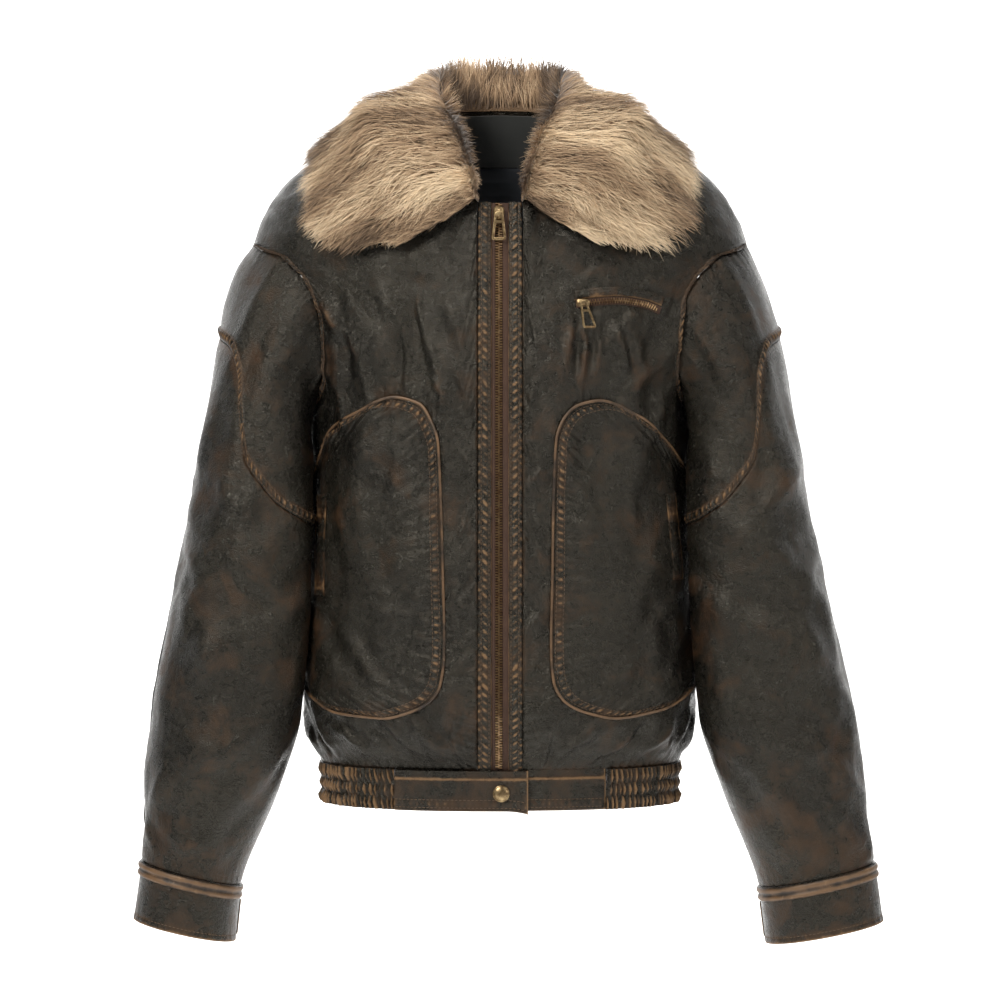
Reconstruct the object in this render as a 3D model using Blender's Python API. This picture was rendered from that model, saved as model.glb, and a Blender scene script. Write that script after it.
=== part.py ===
"""Distressed leather bomber jacket with a fur collar, worn form with nobody in it.

Metres, +Z up. The front faces -Y and the wearer's left is +X.
The origin is the middle of the neck base, level with the shoulder ridge.
Sizes in the tables below are millimetres.
"""

import math

import bmesh
import bpy
import numpy as np
from mathutils import Vector
from mathutils.bvhtree import BVHTree

MM = 0.001
WALL = 2.0
SEAM = 0.22

NECK_Z = 8.0
SHOULDER_TIP_Z = -103.0
ARMPIT_Z = -245.0
HEM_TOP_Z = -567.0
HEM_EDGE_Z = -602.0
ZIP_TOP_Z = -77.0
ZIP_X = -1.0
PLACKET_IN = 7.3
PLACKET_OUT = 19.5

# Body sections: height, half width, depth in front, depth behind, squareness
BODY = np.array([
    (-602, 158, 118, 110, 2.25),
    (-567, 160, 121, 114, 2.25),
    (-545, 171, 133, 127, 2.3),
    (-508, 177, 140, 133, 2.3),
    (-423, 174, 135, 128, 2.3),
    (-333, 169, 131, 125, 2.3),
    (-300, 167, 130, 125, 2.3),
    (-245, 167, 127, 125, 2.3),
    (-205, 181, 124, 125, 2.3),
    (-165, 199, 119, 124, 2.25),
    (-140, 211, 115, 122, 2.2),
    (-120, 219, 112, 120, 2.2),
    (-103, 221, 109, 119, 2.2),
    (-88, 217, 106, 118, 2.15),
    (-72, 209, 101, 115, 2.1),
    (-54, 197, 92, 111, 2.05),
    (-36, 178, 82, 105, 2.0),
    (-20, 146, 70, 98, 2.0),
    (-10, 120, 61, 92, 2.0),
    (8, 75, 55, 82, 2.0),
    (25, 60, 50, 75, 2.0),
], float)

# Folds of the body: angle and height of both ends, half width, height
BODY_FOLDS = [
    (42, -150, 52, -300, 16, 3.2), (30, -175, 36, -285, 14, -2.4),
    (62, -215, 44, -330, 15, 2.6), (20, -255, 33, -375, 13, 2.0),
    (55, -520, 78, -470, 14, 3.4), (28, -545, 52, -500, 12, 2.6),
    (72, -545, 86, -505, 12, -2.4), (14, -540, 24, -470, 11, 1.8),
    (-44, -140, -50, -290, 16, 3.4), (-33, -170, -30, -320, 14, -2.4),
    (-60, -230, -46, -345, 15, 2.8), (-19, -240, -34, -390, 13, 2.2),
    (-52, -525, -80, -465, 14, 3.6), (-26, -548, -50, -498, 12, 2.6),
    (-70, -548, -86, -508, 12, -2.4), (-14, -545, -22, -480, 11, 1.8),
    (128, -240, 150, -330, 17, 3.2), (118, -290, 140, -400, 16, -2.6),
    (232, -240, 210, -335, 17, 3.4), (242, -295, 222, -395, 16, -2.6),
    (110, -540, 132, -480, 14, 3.4), (145, -550, 160, -490, 13, 3.0),
    (180, -548, 184, -480, 13, 2.8), (215, -550, 200, -488, 13, 3.0),
    (250, -540, 228, -478, 14, 3.4), (165, -200, 172, -330, 18, 2.2),
]

# Front edge of the armhole, tip to armpit: half breadth and height
ARMHOLE_FRONT = [(221, -103), (187, -121), (172, -140), (160, -165), (155, -205), (159, -235), (167, -245)]
ARMHOLE_BACK = [(221, -103), (190, -118), (172, -142), (160, -170), (156, -205), (160, -234), (167, -245)]
# Neckline, front end to the middle of the back: angle and height
NECKLINE = [(11, -70), (22, -50), (40, -21), (62, -3), (90, 8), (120, 17), (150, 23), (180, 25)]
# Edge of the side panel, upper end at the side seam round to the lower end
PANEL_EDGE = [
    (167, -318), (158, -296), (146, -282), (117, -260), (87, -247), (68, -251), (54, -264),
    (48, -282), (46, -330), (45, -400), (44, -470), (46, -490), (55, -506), (74, -516),
    (99, -521), (138, -515), (165, -502), (177, -488),
]
PANEL_EDGE_RIGHT = [
    (167, -318), (160, -296), (149, -272), (124, -258), (92, -244), (70, -250), (60, -264),
    (53, -284), (51, -330), (49, -400), (48, -470), (51, -492), (61, -507), (81, -517),
    (99, -521), (138, -518), (163, -507), (177, -490),
]
# Places that the rows of a front bend through, from the armpit round to the placket's top:
# millimetres from the front middle along the waist, and height
FRONT_BENDS = [
    (216, -276), (199, -270), (180, -262), (163, -248), (149, -232), (137, -210), (128, -182),
    (122, -135), (118, -105), (116, -85), (113, -74), (110, -66), (107, -59), (104, -53),
    (97, -62), (86, -80), (73, -96), (56, -108), (38, -118),
]
# Sleeve rings: outer x and z, inner x and z, half depth, centre in y
SLEEVE_LEFT = np.array([
    (268, -300, 157, -300, 80, -14), (280, -360, 157, -362, 76, -24), (293, -423, 160, -428, 71, -34),
    (311, -508, 173, -516, 64, -43), (321, -575, 197, -590, 57, -48), (331, -652, 229, -674, 47, -50),
    (338, -704, 236, -724, 46, -50),
], float)
SLEEVE_RIGHT = np.array([
    (269, -300, 157, -300, 80, -14), (281, -360, 157, -362, 76, -24), (291, -423, 160, -428, 71, -34),
    (306, -508, 173, -516, 64, -43), (315, -575, 196, -590, 57, -48), (317, -650, 229, -672, 46, -50),
    (323, -702, 235, -722, 45, -50),
], float)
# Seam between sleeve cap and sleeve: angle round the sleeve and ring number
CAP_SEAM = [(0, 0.44), (25, 0.46), (48, 0.56), (66, 0.74), (80, 0.96), (92, 1.25), (112, 1.62),
            (140, 1.85), (180, 1.95)]
# Folds of a sleeve: angle and ring number of both ends, half width, height
SLEEVE_FOLDS = [
    (20, 0.9, 70, 1.5, 15, 3.0), (120, 1.7, 70, 2.4, 14, 3.4), (150, 2.4, 95, 3.0, 13, -3.0),
    (130, 2.9, 60, 3.5, 14, 3.4), (60, 3.3, 20, 4.1, 14, 2.6), (130, 3.8, 80, 4.6, 12, 3.0),
    (70, 4.6, 25, 5.2, 12, 2.8), (150, 4.7, 110, 5.4, 11, -2.6), (210, 2.1, 260, 2.7, 15, 3.6),
    (200, 2.7, 250, 3.3, 13, -3.0), (215, 3.3, 275, 3.9, 14, 3.6), (240, 4.1, 300, 4.7, 12, 3.2),
    (340, 1.2, 300, 2.2, 16, 2.8), (330, 3.0, 350, 4.2, 15, 2.6), (300, 5.0, 340, 5.5, 10, 2.4),
]

LEATHER = (0.030, 0.024, 0.018)
WORN = (0.16, 0.085, 0.035)
FUR = (0.62, 0.47, 0.30)
BRASS = (0.34, 0.25, 0.13)
TAPE = (0.10, 0.045, 0.028)
LINING = (0.012, 0.014, 0.017)


def slopes(xs, ys):
    """Slopes that keep a curve through the points free of overshoot."""
    step = np.diff(xs)
    rise = np.diff(ys, axis=0) / step.reshape([-1] + [1] * (ys.ndim - 1))
    out = np.zeros_like(ys)
    out[0] = rise[0]
    out[-1] = rise[-1]
    same = rise[:-1] * rise[1:] > 0
    total = rise[:-1] + rise[1:]
    total = np.where(np.abs(total) < 1e-12, 1.0, total)
    out[1:-1] = np.where(same, 2 * rise[:-1] * rise[1:] / total, 0.0)
    return out


def curve(xs, ys, at):
    """Smooth values at the places asked for, through the points of a table."""
    xs = np.asarray(xs, float)
    ys = np.asarray(ys, float)
    at = np.clip(np.asarray(at, float), xs[0], xs[-1])
    i = np.clip(np.searchsorted(xs, at, side="right") - 1, 0, len(xs) - 2)
    h = xs[i + 1] - xs[i]
    t = (at - xs[i]) / h
    m = slopes(xs, ys)
    if ys.ndim > 1:
        t = t[..., None]
        h = h[..., None]
    a = (1 + 2 * t) * (1 - t) ** 2 * ys[i] + t * (1 - t) ** 2 * h * m[i]
    b = t * t * (3 - 2 * t) * ys[i + 1] + t * t * (t - 1) * h * m[i + 1]
    return a + b


def unit(v):
    """Vectors of length one."""
    size = np.linalg.norm(v, axis=-1, keepdims=True)
    return v / np.maximum(size, 1e-9)


def folds(u, v, lines):
    """Height of the soft ridges and troughs at flat places u and v in millimetres."""
    total = np.zeros(np.broadcast(u, v).shape)
    for u0, v0, u1, v1, width, height in lines:
        du = u1 - u0
        dv = v1 - v0
        along = np.clip(((u - u0) * du + (v - v0) * dv) / (du * du + dv * dv), 0, 1)
        gap = np.hypot(u - u0 - along * du, v - v0 - along * dv)
        total = total + height * np.exp(-((gap / width) ** 2))
    return total


def body_base(phi, z):
    """Body surface without folds, phi from the front middle towards the wearer's left."""
    phi = np.asarray(phi, float)
    z = np.asarray(z, float)
    a, f, b, n = np.moveaxis(curve(BODY[:, 0], BODY[:, 1:], z), -1, 0)
    s = np.sin(phi)
    c = np.cos(phi)
    d = np.where(c > 0, f, b)
    r = (np.abs(s / a) ** n + np.abs(c / d) ** n) ** (-1 / n)
    return np.stack([r * s, -r * c, z + 0 * r], -1)


def body_normal(phi, z):
    """Outward direction of the body surface."""
    e = 0.01
    h = 1.5
    across = body_base(phi + e, z) - body_base(phi - e, z)
    down = body_base(phi, z - h) - body_base(phi, z + h)
    return unit(np.cross(down, across))


def body_folds(phi, z):
    """Relief of the body in millimetres, fading out at the seams at top and hem."""
    lines = [(math.radians(p0) * 150, z0, math.radians(p1) * 150, z1, w, h)
             for p0, z0, p1, z1, w, h in BODY_FOLDS]
    wrapped = np.mod(phi + math.pi / 2, 2 * math.pi) - math.pi / 2
    front = folds(wrapped * 150, z, lines)
    fade = np.clip((z - HEM_TOP_Z) / 14, 0, 1) * np.clip((-60 - z) / 40, 0, 1)
    return front * fade


def body(phi, z, out=0.0):
    """Point of the body surface, moved out along its normal."""
    lift = body_folds(phi, z) + out
    return body_base(phi, z) + body_normal(phi, z) * np.asarray(lift)[..., None]


def front_angle(x, z):
    """Angle of the point of the front at breadth x and height z."""
    a, f, b, n = np.moveaxis(curve(BODY[:, 0], BODY[:, 1:], np.asarray(z, float)), -1, 0)
    y = f * np.maximum(1 - np.minimum(np.abs(x) / a, 1) ** n, 0) ** (1 / n)
    return np.arctan2(x, y)


def back_angle(x, z):
    """Angle of the point of the back at breadth x and height z."""
    a, f, b, n = np.moveaxis(curve(BODY[:, 0], BODY[:, 1:], np.asarray(z, float)), -1, 0)
    y = b * np.maximum(1 - np.minimum(np.abs(x) / a, 1) ** n, 0) ** (1 / n)
    return math.pi - np.arctan2(x, y)


def along(points, count):
    """Even steps along a flat line, with angles counted as 150 mm a radian."""
    points = np.asarray(points, float)
    scaled = points * np.array([150.0, 1.0])
    reach = np.concatenate([[0], np.cumsum(np.linalg.norm(np.diff(scaled, axis=0), axis=1))])
    at = np.linspace(0, reach[-1], count + 1)
    return curve(reach, points, at)


def armhole(front, count):
    """Armhole edge from shoulder tip to armpit, as angles and heights."""
    table = np.array(ARMHOLE_FRONT if front else ARMHOLE_BACK, float)
    angle = front_angle if front else back_angle
    phi = angle(table[:, 0], table[:, 1])
    phi[0] = math.pi / 2
    phi[-1] = math.pi / 2
    return along(np.stack([phi, table[:, 1]], 1), count)


def inset(line, distance, side):
    """Flat line moved sideways by a small distance, side is +1 for left of its run."""
    scaled = line * np.array([150.0, 1.0])
    run = unit(np.gradient(scaled, axis=0))
    move = np.stack([-run[:, 1], run[:, 0]], 1) * side * distance
    return (scaled + move) / np.array([150.0, 1.0])


def new_object(name, verts, faces, look, smooth=True):
    """One closed mesh object with its own material."""
    mesh = bpy.data.meshes.new(name)
    mesh.from_pydata([tuple(v) for v in np.asarray(verts) * MM], [], faces)
    work = bmesh.new()
    work.from_mesh(mesh)
    bmesh.ops.recalc_face_normals(work, faces=work.faces)
    bmesh.ops.triangulate(work, faces=[f for f in work.faces if len(f.verts) > 3])
    work.to_mesh(mesh)
    work.free()
    if smooth:
        mesh.shade_smooth()
        mesh.set_sharp_from_angle(angle=math.radians(40))
    colour, rough, metal = look
    material = bpy.data.materials.new(name)
    material.use_nodes = True
    shader = material.node_tree.nodes["Principled BSDF"]
    shader.inputs["Base Color"].default_value = (*colour, 1)
    shader.inputs["Roughness"].default_value = rough
    shader.inputs["Metallic"].default_value = metal
    mesh.materials.append(material)
    item = bpy.data.objects.new(name, mesh)
    bpy.context.scene.collection.objects.link(item)
    return item


def wall(name, outer, inner, look, ring=False):
    """Cloth wall between two grids of points, open sheet or tube."""
    outer = np.asarray(outer)
    inner = np.asarray(inner)
    rows, cols = outer.shape[:2]
    verts = np.concatenate([outer.reshape(-1, 3), inner.reshape(-1, 3)])
    half = rows * cols
    last = cols if ring else cols - 1
    faces = []
    for r in range(rows - 1):
        for c in range(last):
            d = (c + 1) % cols
            a, b, e, f = r * cols + c, r * cols + d, (r + 1) * cols + d, (r + 1) * cols + c
            faces.append((a, b, e, f))
            faces.append((half + a, half + f, half + e, half + b))
    for c in range(last):
        d = (c + 1) % cols
        low = (rows - 1) * cols
        faces.append((c, half + c, half + d, d))
        faces.append((low + d, half + low + d, half + low + c, low + c))
    if not ring:
        for r in range(rows - 1):
            a, b = r * cols, (r + 1) * cols
            faces.append((a, b, half + b, half + a))
            a, b = r * cols + cols - 1, (r + 1) * cols + cols - 1
            faces.append((b, a, half + a, half + b))
    return new_object(name, verts, faces, look)


def loft(name, sections, look, smooth=True):
    """Solid through closed sections of equal count, with flat ends."""
    sections = np.asarray(sections)
    rows, cols = sections.shape[:2]
    faces = []
    for r in range(rows - 1):
        for c in range(cols):
            d = (c + 1) % cols
            faces.append((r * cols + c, r * cols + d, (r + 1) * cols + d, (r + 1) * cols + c))
    faces.append(tuple(range(cols - 1, -1, -1)))
    faces.append(tuple((rows - 1) * cols + c for c in range(cols)))
    return new_object(name, sections.reshape(-1, 3), faces, look, smooth)


def body_wall(name, flat, look, out=0.0, thick=WALL):
    """Wall on the body surface over a grid of angles and heights."""
    phi = flat[..., 0]
    z = flat[..., 1]
    return wall(name, body(phi, z, out), body(phi, z, out - thick), look)


ARM_STEPS = 10
SHOULDER_STEPS = 4
NECK_STEPS = 5
PLACKET_STEPS = 12
HEM_STEPS = 6


def front_rim():
    """Outer edge of a front: armhole, shoulder, neckline, placket and hem."""
    arm = armhole(True, ARM_STEPS)[::-1]
    top = np.linspace([math.pi / 2, SHOULDER_TIP_Z], [math.pi / 2, NECK_Z], SHOULDER_STEPS + 1)
    neck = neckline_half(NECK_STEPS)[::-1]
    z = np.interp(np.arange(PLACKET_STEPS + 1), [0, 7, PLACKET_STEPS], [neck[-1, 1], -492.0, HEM_TOP_Z])
    down = np.stack([front_angle(np.full_like(z, PLACKET_OUT), z), z], 1)
    hem = np.linspace(down[-1], [math.pi / 2, HEM_TOP_Z], HEM_STEPS + 1)
    return np.concatenate([arm, top[1:], neck[1:], down[1:], hem[1:]])


def neckline_half(count):
    """Neckline from the placket's top to the shoulder."""
    table = np.array(NECKLINE[:5], float)
    first_z = ZIP_TOP_Z + 3
    start = [math.degrees(front_angle(np.float64(PLACKET_OUT), np.float64(first_z))), first_z]
    table = np.concatenate([[start], table])
    return along(np.radians(table * [1, 0]) + table * [0, 1], count)


def neckline_back(count):
    """Neckline round the back from one shoulder to the other."""
    half = np.array(NECKLINE[4:], float)
    other = half[::-1][1:] * [-1, 1] + [360, 0]
    table = np.concatenate([half, other])
    return along(np.radians(table * [1, 0]) + table * [0, 1], count)


def panel_edge(table):
    """Edge of the side panel at the same number of places as the rim of the front."""
    table = np.array(table, float)
    phi = front_angle(table[:, 0], table[:, 1])
    phi[0] = math.pi / 2
    phi[-1] = math.pi / 2
    line = along(np.stack([phi, table[:, 1]], 1), 200)
    marks = [0, 10, 14, 19, 26, 31, 37]
    share = np.interp(np.arange(38), marks, [0, 0.25, 0.28, 0.34, 0.68, 0.80, 1.0])
    return curve(np.linspace(0, 1, 201), line, share)


def mirrored(flat, side):
    """Flat grid for the wearer's left (+1) or right (-1)."""
    return flat * np.array([side, 1.0])


def make_front(side, table):
    """One front, running round its side panel."""
    rim = inset(front_rim(), SEAM, 1)
    edge = inset(panel_edge(table), SEAM, -1)
    rim[0, 0] = rim[-1, 0] = edge[0, 0] = edge[-1, 0] = math.pi / 2 - SEAM / 165
    edge[0, 1] += 2 * SEAM
    edge[-1, 1] -= 2 * SEAM
    corner = ARM_STEPS
    rim[corner:corner + SHOULDER_STEPS + 1, 0] = math.pi / 2 - SEAM / 100
    bend = np.interp(np.arange(len(rim)), [19, 31, 33, 37], [8, 8, 22, 22])
    pull = inset(front_rim(), bend[:, None], 1)
    pull[1:len(FRONT_BENDS) + 1] = np.array(FRONT_BENDS) / [150.0, 1.0]
    pull[0] = 0.5 * (rim[0] + edge[0])
    pull[-1] = 0.5 * (rim[-1] + edge[-1])
    t = np.linspace(0, 1, 8)[:, None, None]
    flat = edge[None] * (1 - t) ** 2 + 2 * t * (1 - t) * pull[None] + rim[None] * t * t
    name = "front_left" if side > 0 else "front_right"
    return body_wall(name, mirrored(flat, side), (LEATHER, 0.42, 0.0))


def make_side_panel(side, table):
    """Rounded panel let into a front, from its piped edge to the side seam."""
    edge = inset(panel_edge(table), SEAM, 1)
    edge[0, 0] = edge[-1, 0] = math.pi / 2 - SEAM / 165
    edge[0, 1] -= 2 * SEAM
    edge[-1, 1] += 2 * SEAM
    turn = np.linspace(1, -1, len(edge))
    z = edge[0, 1] + (edge[-1, 1] - edge[0, 1]) * 0.5 * (1 - np.sign(turn) * np.abs(turn) ** 1.9)
    seam = np.stack([np.full_like(z, math.pi / 2 - SEAM / 165), z], 1)
    return panel_fan(side, edge, seam)


def panel_fan(side, edge, seam):
    """Side panel as rows across, each from the seam to the edge and closing at both ends."""
    count = len(edge)
    rows = 5
    t = np.linspace(0, 1, rows)
    grid = edge[None] * (1 - t[:, None, None]) + seam[None] * t[:, None, None]
    outer = body(grid[..., 0] * side, grid[..., 1])
    inner = body(grid[..., 0] * side, grid[..., 1], -WALL)
    verts = []
    index = {}
    for layer, points in enumerate((outer, inner)):
        for r in range(rows):
            for c in range(count):
                key = (layer, 0 if c in (0, count - 1) else r, c)
                if key not in index:
                    index[key] = len(verts)
                    verts.append(points[r, c])
    faces = []

    def spot(layer, r, c):
        return index[(layer, 0 if c in (0, count - 1) else r, c)]

    for r in range(rows - 1):
        for c in range(count - 1):
            quad = [(r, c), (r, c + 1), (r + 1, c + 1), (r + 1, c)]
            for layer in (0, 1):
                face = []
                for place in quad:
                    v = spot(layer, *place)
                    if v not in face:
                        face.append(v)
                faces.append(face if layer == 0 else face[::-1])
    for r, turn in ((0, 1), (rows - 1, -1)):
        for c in range(count - 1):
            face = [spot(0, r, c), spot(1, r, c), spot(1, r, c + 1), spot(0, r, c + 1)]
            faces.append(face[::turn])
    name = "side_panel_left" if side > 0 else "side_panel_right"
    return new_object(name, verts, faces, (LEATHER, 0.42, 0.0))


def coons(top, bottom, left, right):
    """Grid inside four flat edges."""
    rows = len(left)
    cols = len(top)
    s = np.linspace(0, 1, cols)[None, :, None]
    t = np.linspace(0, 1, rows)[:, None, None]
    across = left[:, None] * (1 - s) + right[:, None] * s
    down = top[None] * (1 - t) + bottom[None] * t
    corner = (top[0] * (1 - s) * (1 - t) + top[-1] * s * (1 - t)
              + bottom[0] * (1 - s) * t + bottom[-1] * s * t)
    return across + down - corner


def make_back():
    """Back in one piece, shoulder to shoulder and neck to hem."""
    arm = armhole(False, ARM_STEPS)
    ridge_z = np.linspace(NECK_Z, SHOULDER_TIP_Z, SHOULDER_STEPS + 1)
    ridge = np.stack([np.full_like(ridge_z, math.pi / 2), ridge_z], 1)
    side_z = np.linspace(ARMPIT_Z, HEM_TOP_Z, 8)[1:]
    seam = np.stack([np.full(7, math.pi / 2), side_z], 1)
    left = inset(np.concatenate([ridge[:-1], arm, seam]), SEAM, 1)
    left[:SHOULDER_STEPS + 1, 0] = math.pi / 2 + SEAM / 100
    left[SHOULDER_STEPS + ARM_STEPS:, 0] = math.pi / 2 + SEAM / 165
    neck = neckline_back(12)
    neck[0, 0] = left[0, 0]
    neck[-1, 0] = 2 * math.pi - left[0, 0]
    right = left * [-1, 1] + [2 * math.pi, 0]
    bottom = np.linspace(left[-1], right[-1], len(neck))
    return body_wall("back", coons(neck, bottom, left, right), (LEATHER, 0.42, 0.0))


def make_placket(side, z):
    """Strip that faces one side of the main zip."""
    x = np.linspace(PLACKET_IN, PLACKET_OUT - 2 * SEAM, 3)
    zz, xx = np.meshgrid(z, x, indexing="ij")
    flat = np.stack([front_angle(xx, zz), zz], -1)
    name = "placket_left" if side > 0 else "placket_right"
    return body_wall(name, mirrored(flat, side), (LEATHER, 0.4, 0.0), 0.6, WALL + 0.4)


def front_strip(name, x0, x1, z, out, thick, look):
    """Strip down the front middle between two breadths."""
    x = np.array([x0, 0.5 * (x0 + x1), x1])
    zz, xx = np.meshgrid(z, x, indexing="ij")
    flat = np.stack([front_angle(xx, zz), zz], -1)
    return body_wall(name, flat, look, out, thick)


def armhole_point(psi, side):
    """Point, outward direction and direction into the hole round the armhole."""
    psi = np.mod(psi, 2 * math.pi)
    share = np.where(psi <= math.pi, psi, 2 * math.pi - psi) / math.pi
    front = armhole(True, ARM_STEPS)
    back = armhole(False, ARM_STEPS)
    steps = share * ARM_STEPS
    i = np.clip(steps.astype(int), 0, ARM_STEPS - 1)
    t = (steps - i)[..., None]
    flat_f = front[i] * (1 - t) + front[i + 1] * t
    flat_b = back[i] * (1 - t) + back[i + 1] * t
    flat = np.where((psi <= math.pi)[..., None], flat_f, flat_b)
    flip = np.array([side, 1.0, 1.0])
    point = body(flat[..., 0] * side, flat[..., 1]) * flip
    normal = body_normal(flat[..., 0] * side, flat[..., 1]) * flip
    middle = body(np.float64(math.pi / 2), np.float64(-172.0))
    inward = middle - point
    inward = inward - normal * np.sum(inward * normal, -1, keepdims=True)
    return point, normal, unit(inward)


def ring_point(table, psi, q):
    """Point of the plain sleeve below the upper arm, ring numbers from one."""
    row = curve(np.arange(1, len(table) + 1), table, np.clip(q, 1, len(table)))
    ox, oz, ix, iz, depth, cy = np.moveaxis(row, -1, 0)
    c = np.cos(psi)
    s = np.sin(psi)
    square = 0.93
    cc = np.sign(c) * np.abs(c) ** square
    ss = np.sign(s) * np.abs(s) ** square
    x = (ox + ix) / 2 + (ox - ix) / 2 * cc
    z = (oz + iz) / 2 + (oz - iz) / 2 * cc
    return np.stack([x, cy - depth * ss, z], -1)


def sleeve_base(table, psi, q, side):
    """Sleeve surface before it is mirrored to its side, without folds."""
    psi, q = np.broadcast_arrays(np.asarray(psi, float), np.asarray(q, float))
    low = ring_point(table, psi, q)
    p0, normal, inward = armhole_point(psi, side)
    p1 = ring_point(table, psi, np.ones_like(q))
    t1 = unit(ring_point(table, psi, np.full_like(q, 1.1)) - p1)
    size = np.linalg.norm(p1 - p0, axis=-1, keepdims=True)
    turned = np.mod(psi, 2 * math.pi)
    under = np.exp(-((turned - math.radians(135)) / 0.48) ** 2)[..., None]
    axis = np.array([0.30, 0.0, -0.95]) * (1 - under) + np.array([-0.40, -0.30, -0.85]) * under
    t0 = unit(inward * 0.45 + normal * 0.5 * (1 - under) + axis * 0.5)
    t = np.clip(q, 0, 1)[..., None]
    top = ((1 + 2 * t) * (1 - t) ** 2 * (p0 + inward * 2 * SEAM) + t * (1 - t) ** 2 * size * t0
           + t * t * (3 - 2 * t) * p1 + t * t * (t - 1) * size * t1)
    point = np.where(q[..., None] < 1, top, low)
    return clear_of_body(point)


def clear_of_body(point):
    """Sleeve points pushed just clear of the body below the armpit."""
    x, y, z = np.moveaxis(point, -1, 0)
    phi = np.arctan2(x, -y)
    r = np.hypot(x, y)
    base = body_base(phi, np.clip(z, -602, 25))
    limit = np.hypot(base[..., 0], base[..., 1])
    need = limit + np.clip((ARMPIT_Z - z) / 12, 0, 1) * 5.0
    soft = 3.0
    new = 0.5 * (r + need + np.sqrt((r - need) ** 2 + soft ** 2))
    share = np.clip((ARMPIT_Z - z) / 4, 0, 1) * np.clip((z + 640) / 30, 0, 1)
    new = r + (new - r) * share
    return np.stack([new * np.sin(phi), -new * np.cos(phi), z], -1)


def sleeve_normal(table, psi, q, side):
    """Outward direction of the sleeve surface."""
    e = 0.03
    h = 0.03
    around = sleeve_base(table, psi + e, q, side) - sleeve_base(table, psi - e, q, side)
    qa = np.clip(q - h, 0, len(table))
    qb = np.clip(q + h, 0, len(table))
    down = sleeve_base(table, psi, qb, side) - sleeve_base(table, psi, qa, side)
    return unit(np.cross(around, down))


def sleeve_folds(psi, q, side):
    """Relief of a sleeve in millimetres, fading out at its seams."""
    turn = 0.0 if side > 0 else 14.0
    lines = [(math.radians(p0 + turn) * 62, q0 * 70, math.radians(p1 + turn) * 62, q1 * 70, w, h)
             for p0, q0, p1, q1, w, h in SLEEVE_FOLDS]
    total = folds(np.mod(psi, 2 * math.pi) * 62, q * 70, lines)
    inner = np.exp(-((np.mod(psi, 2 * math.pi) - math.pi) / 0.75) ** 2)
    hug = np.clip((4.6 - q) / 0.6, 0, 1) * inner
    return total * np.clip(q / 0.5, 0, 1) * np.clip((5.95 - q) / 0.3, 0, 1) * (1 - hug)


def sleeve(table, psi, q, side, out=0.0):
    """Point of a sleeve on its own side."""
    lift = sleeve_folds(psi, q, side) + out
    normal = sleeve_normal(table, psi, q, side)
    point = sleeve_base(table, psi, q, side) + normal * np.asarray(lift)[..., None]
    return point * np.array([side, 1.0, 1.0])


COLUMNS = 2 * ARM_STEPS
CUFF_SEAM = 6.0


def cap_seam(psi):
    """Ring number of the seam under the sleeve cap."""
    table = np.array(CAP_SEAM, float)
    full = np.degrees(np.mod(psi, 2 * math.pi))
    full = np.where(full > 180, 360 - full, full)
    return curve(table[:, 0], table[:, 1], full)


def sleeve_rows(psi, top, bottom, count):
    """Flat grid of a tube between two edges."""
    t = np.linspace(0, 1, count)[:, None]
    q = top[None] * (1 - t) + bottom[None] * t
    return np.broadcast_to(psi, q.shape), q


def make_sleeve(side, table):
    """Sleeve cap, sleeve, cuff, trim and tab of one arm."""
    word = "left" if side > 0 else "right"
    psi = np.arange(COLUMNS) * 2 * math.pi / COLUMNS
    seam = cap_seam(psi)
    gap = 0.0035
    p, q = sleeve_rows(psi, np.zeros_like(psi), seam - gap, 7)
    leather = (LEATHER, 0.42, 0.0)
    wall("sleeve_cap_" + word, sleeve(table, p, q, side), sleeve(table, p, q, side, -WALL), leather, True)
    p, q = sleeve_rows(psi, seam + gap, np.full_like(psi, CUFF_SEAM - 0.004), 12)
    wall("sleeve_" + word, sleeve(table, p, q, side), sleeve(table, p, q, side, -WALL), leather, True)
    p, q = sleeve_rows(psi, np.full_like(psi, CUFF_SEAM + 0.006), np.full_like(psi, 7.0), 3)
    wall("cuff_" + word, sleeve(table, p, q, side, 0.6), sleeve(table, p, q, side, 0.6 - 3.0), leather, True)
    angle = np.radians(np.linspace(192, 220, 4))
    p, q = sleeve_rows(angle, np.full_like(angle, 6.27), np.full_like(angle, 6.93), 4)
    wall("cuff_tab_" + word, sleeve(table, p, q, side, 2.6), sleeve(table, p, q, side, 1.4), leather)
    p, q = sleeve_rows(psi, np.full_like(psi, CUFF_SEAM + 0.02), np.full_like(psi, CUFF_SEAM + 0.22), 2)
    wall("cuff_trim_" + word, sleeve(table, p, q, side, 2.4), sleeve(table, p, q, side, 0.95), (WORN, 0.5, 0.0), True)


def tube(name, path, radius, look, sides=4, squash=1.0, up=None):
    """Round strand along a path."""
    path = np.asarray(path, float)
    run = unit(np.gradient(path, axis=0))
    up = np.array([0.0, 0.0, 1.0]) if up is None else up
    side = unit(np.cross(run, up))
    lift = unit(np.cross(side, run))
    angle = np.arange(sides) * 2 * math.pi / sides + math.pi / sides
    ring = (side[:, None] * np.cos(angle)[None, :, None] * radius
            + lift[:, None] * np.sin(angle)[None, :, None] * radius * squash)
    return loft(name, path[:, None] + ring, look)


def make_piping(side, table):
    """Tan cord that covers the seam of a side panel."""
    edge = panel_edge(table)
    edge[0, 0] = edge[-1, 0] = math.pi / 2 - 2.5 / 165
    edge[0, 1] += 1
    edge[-1, 1] -= 1
    path = body(edge[:, 0] * side, edge[:, 1], 2.1)
    up = body_normal(edge[:, 0] * side, edge[:, 1])
    name = "panel_piping_left" if side > 0 else "panel_piping_right"
    return tube(name, path, 1.7, (WORN, 0.5, 0.0), 4, 0.8, up)


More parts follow.
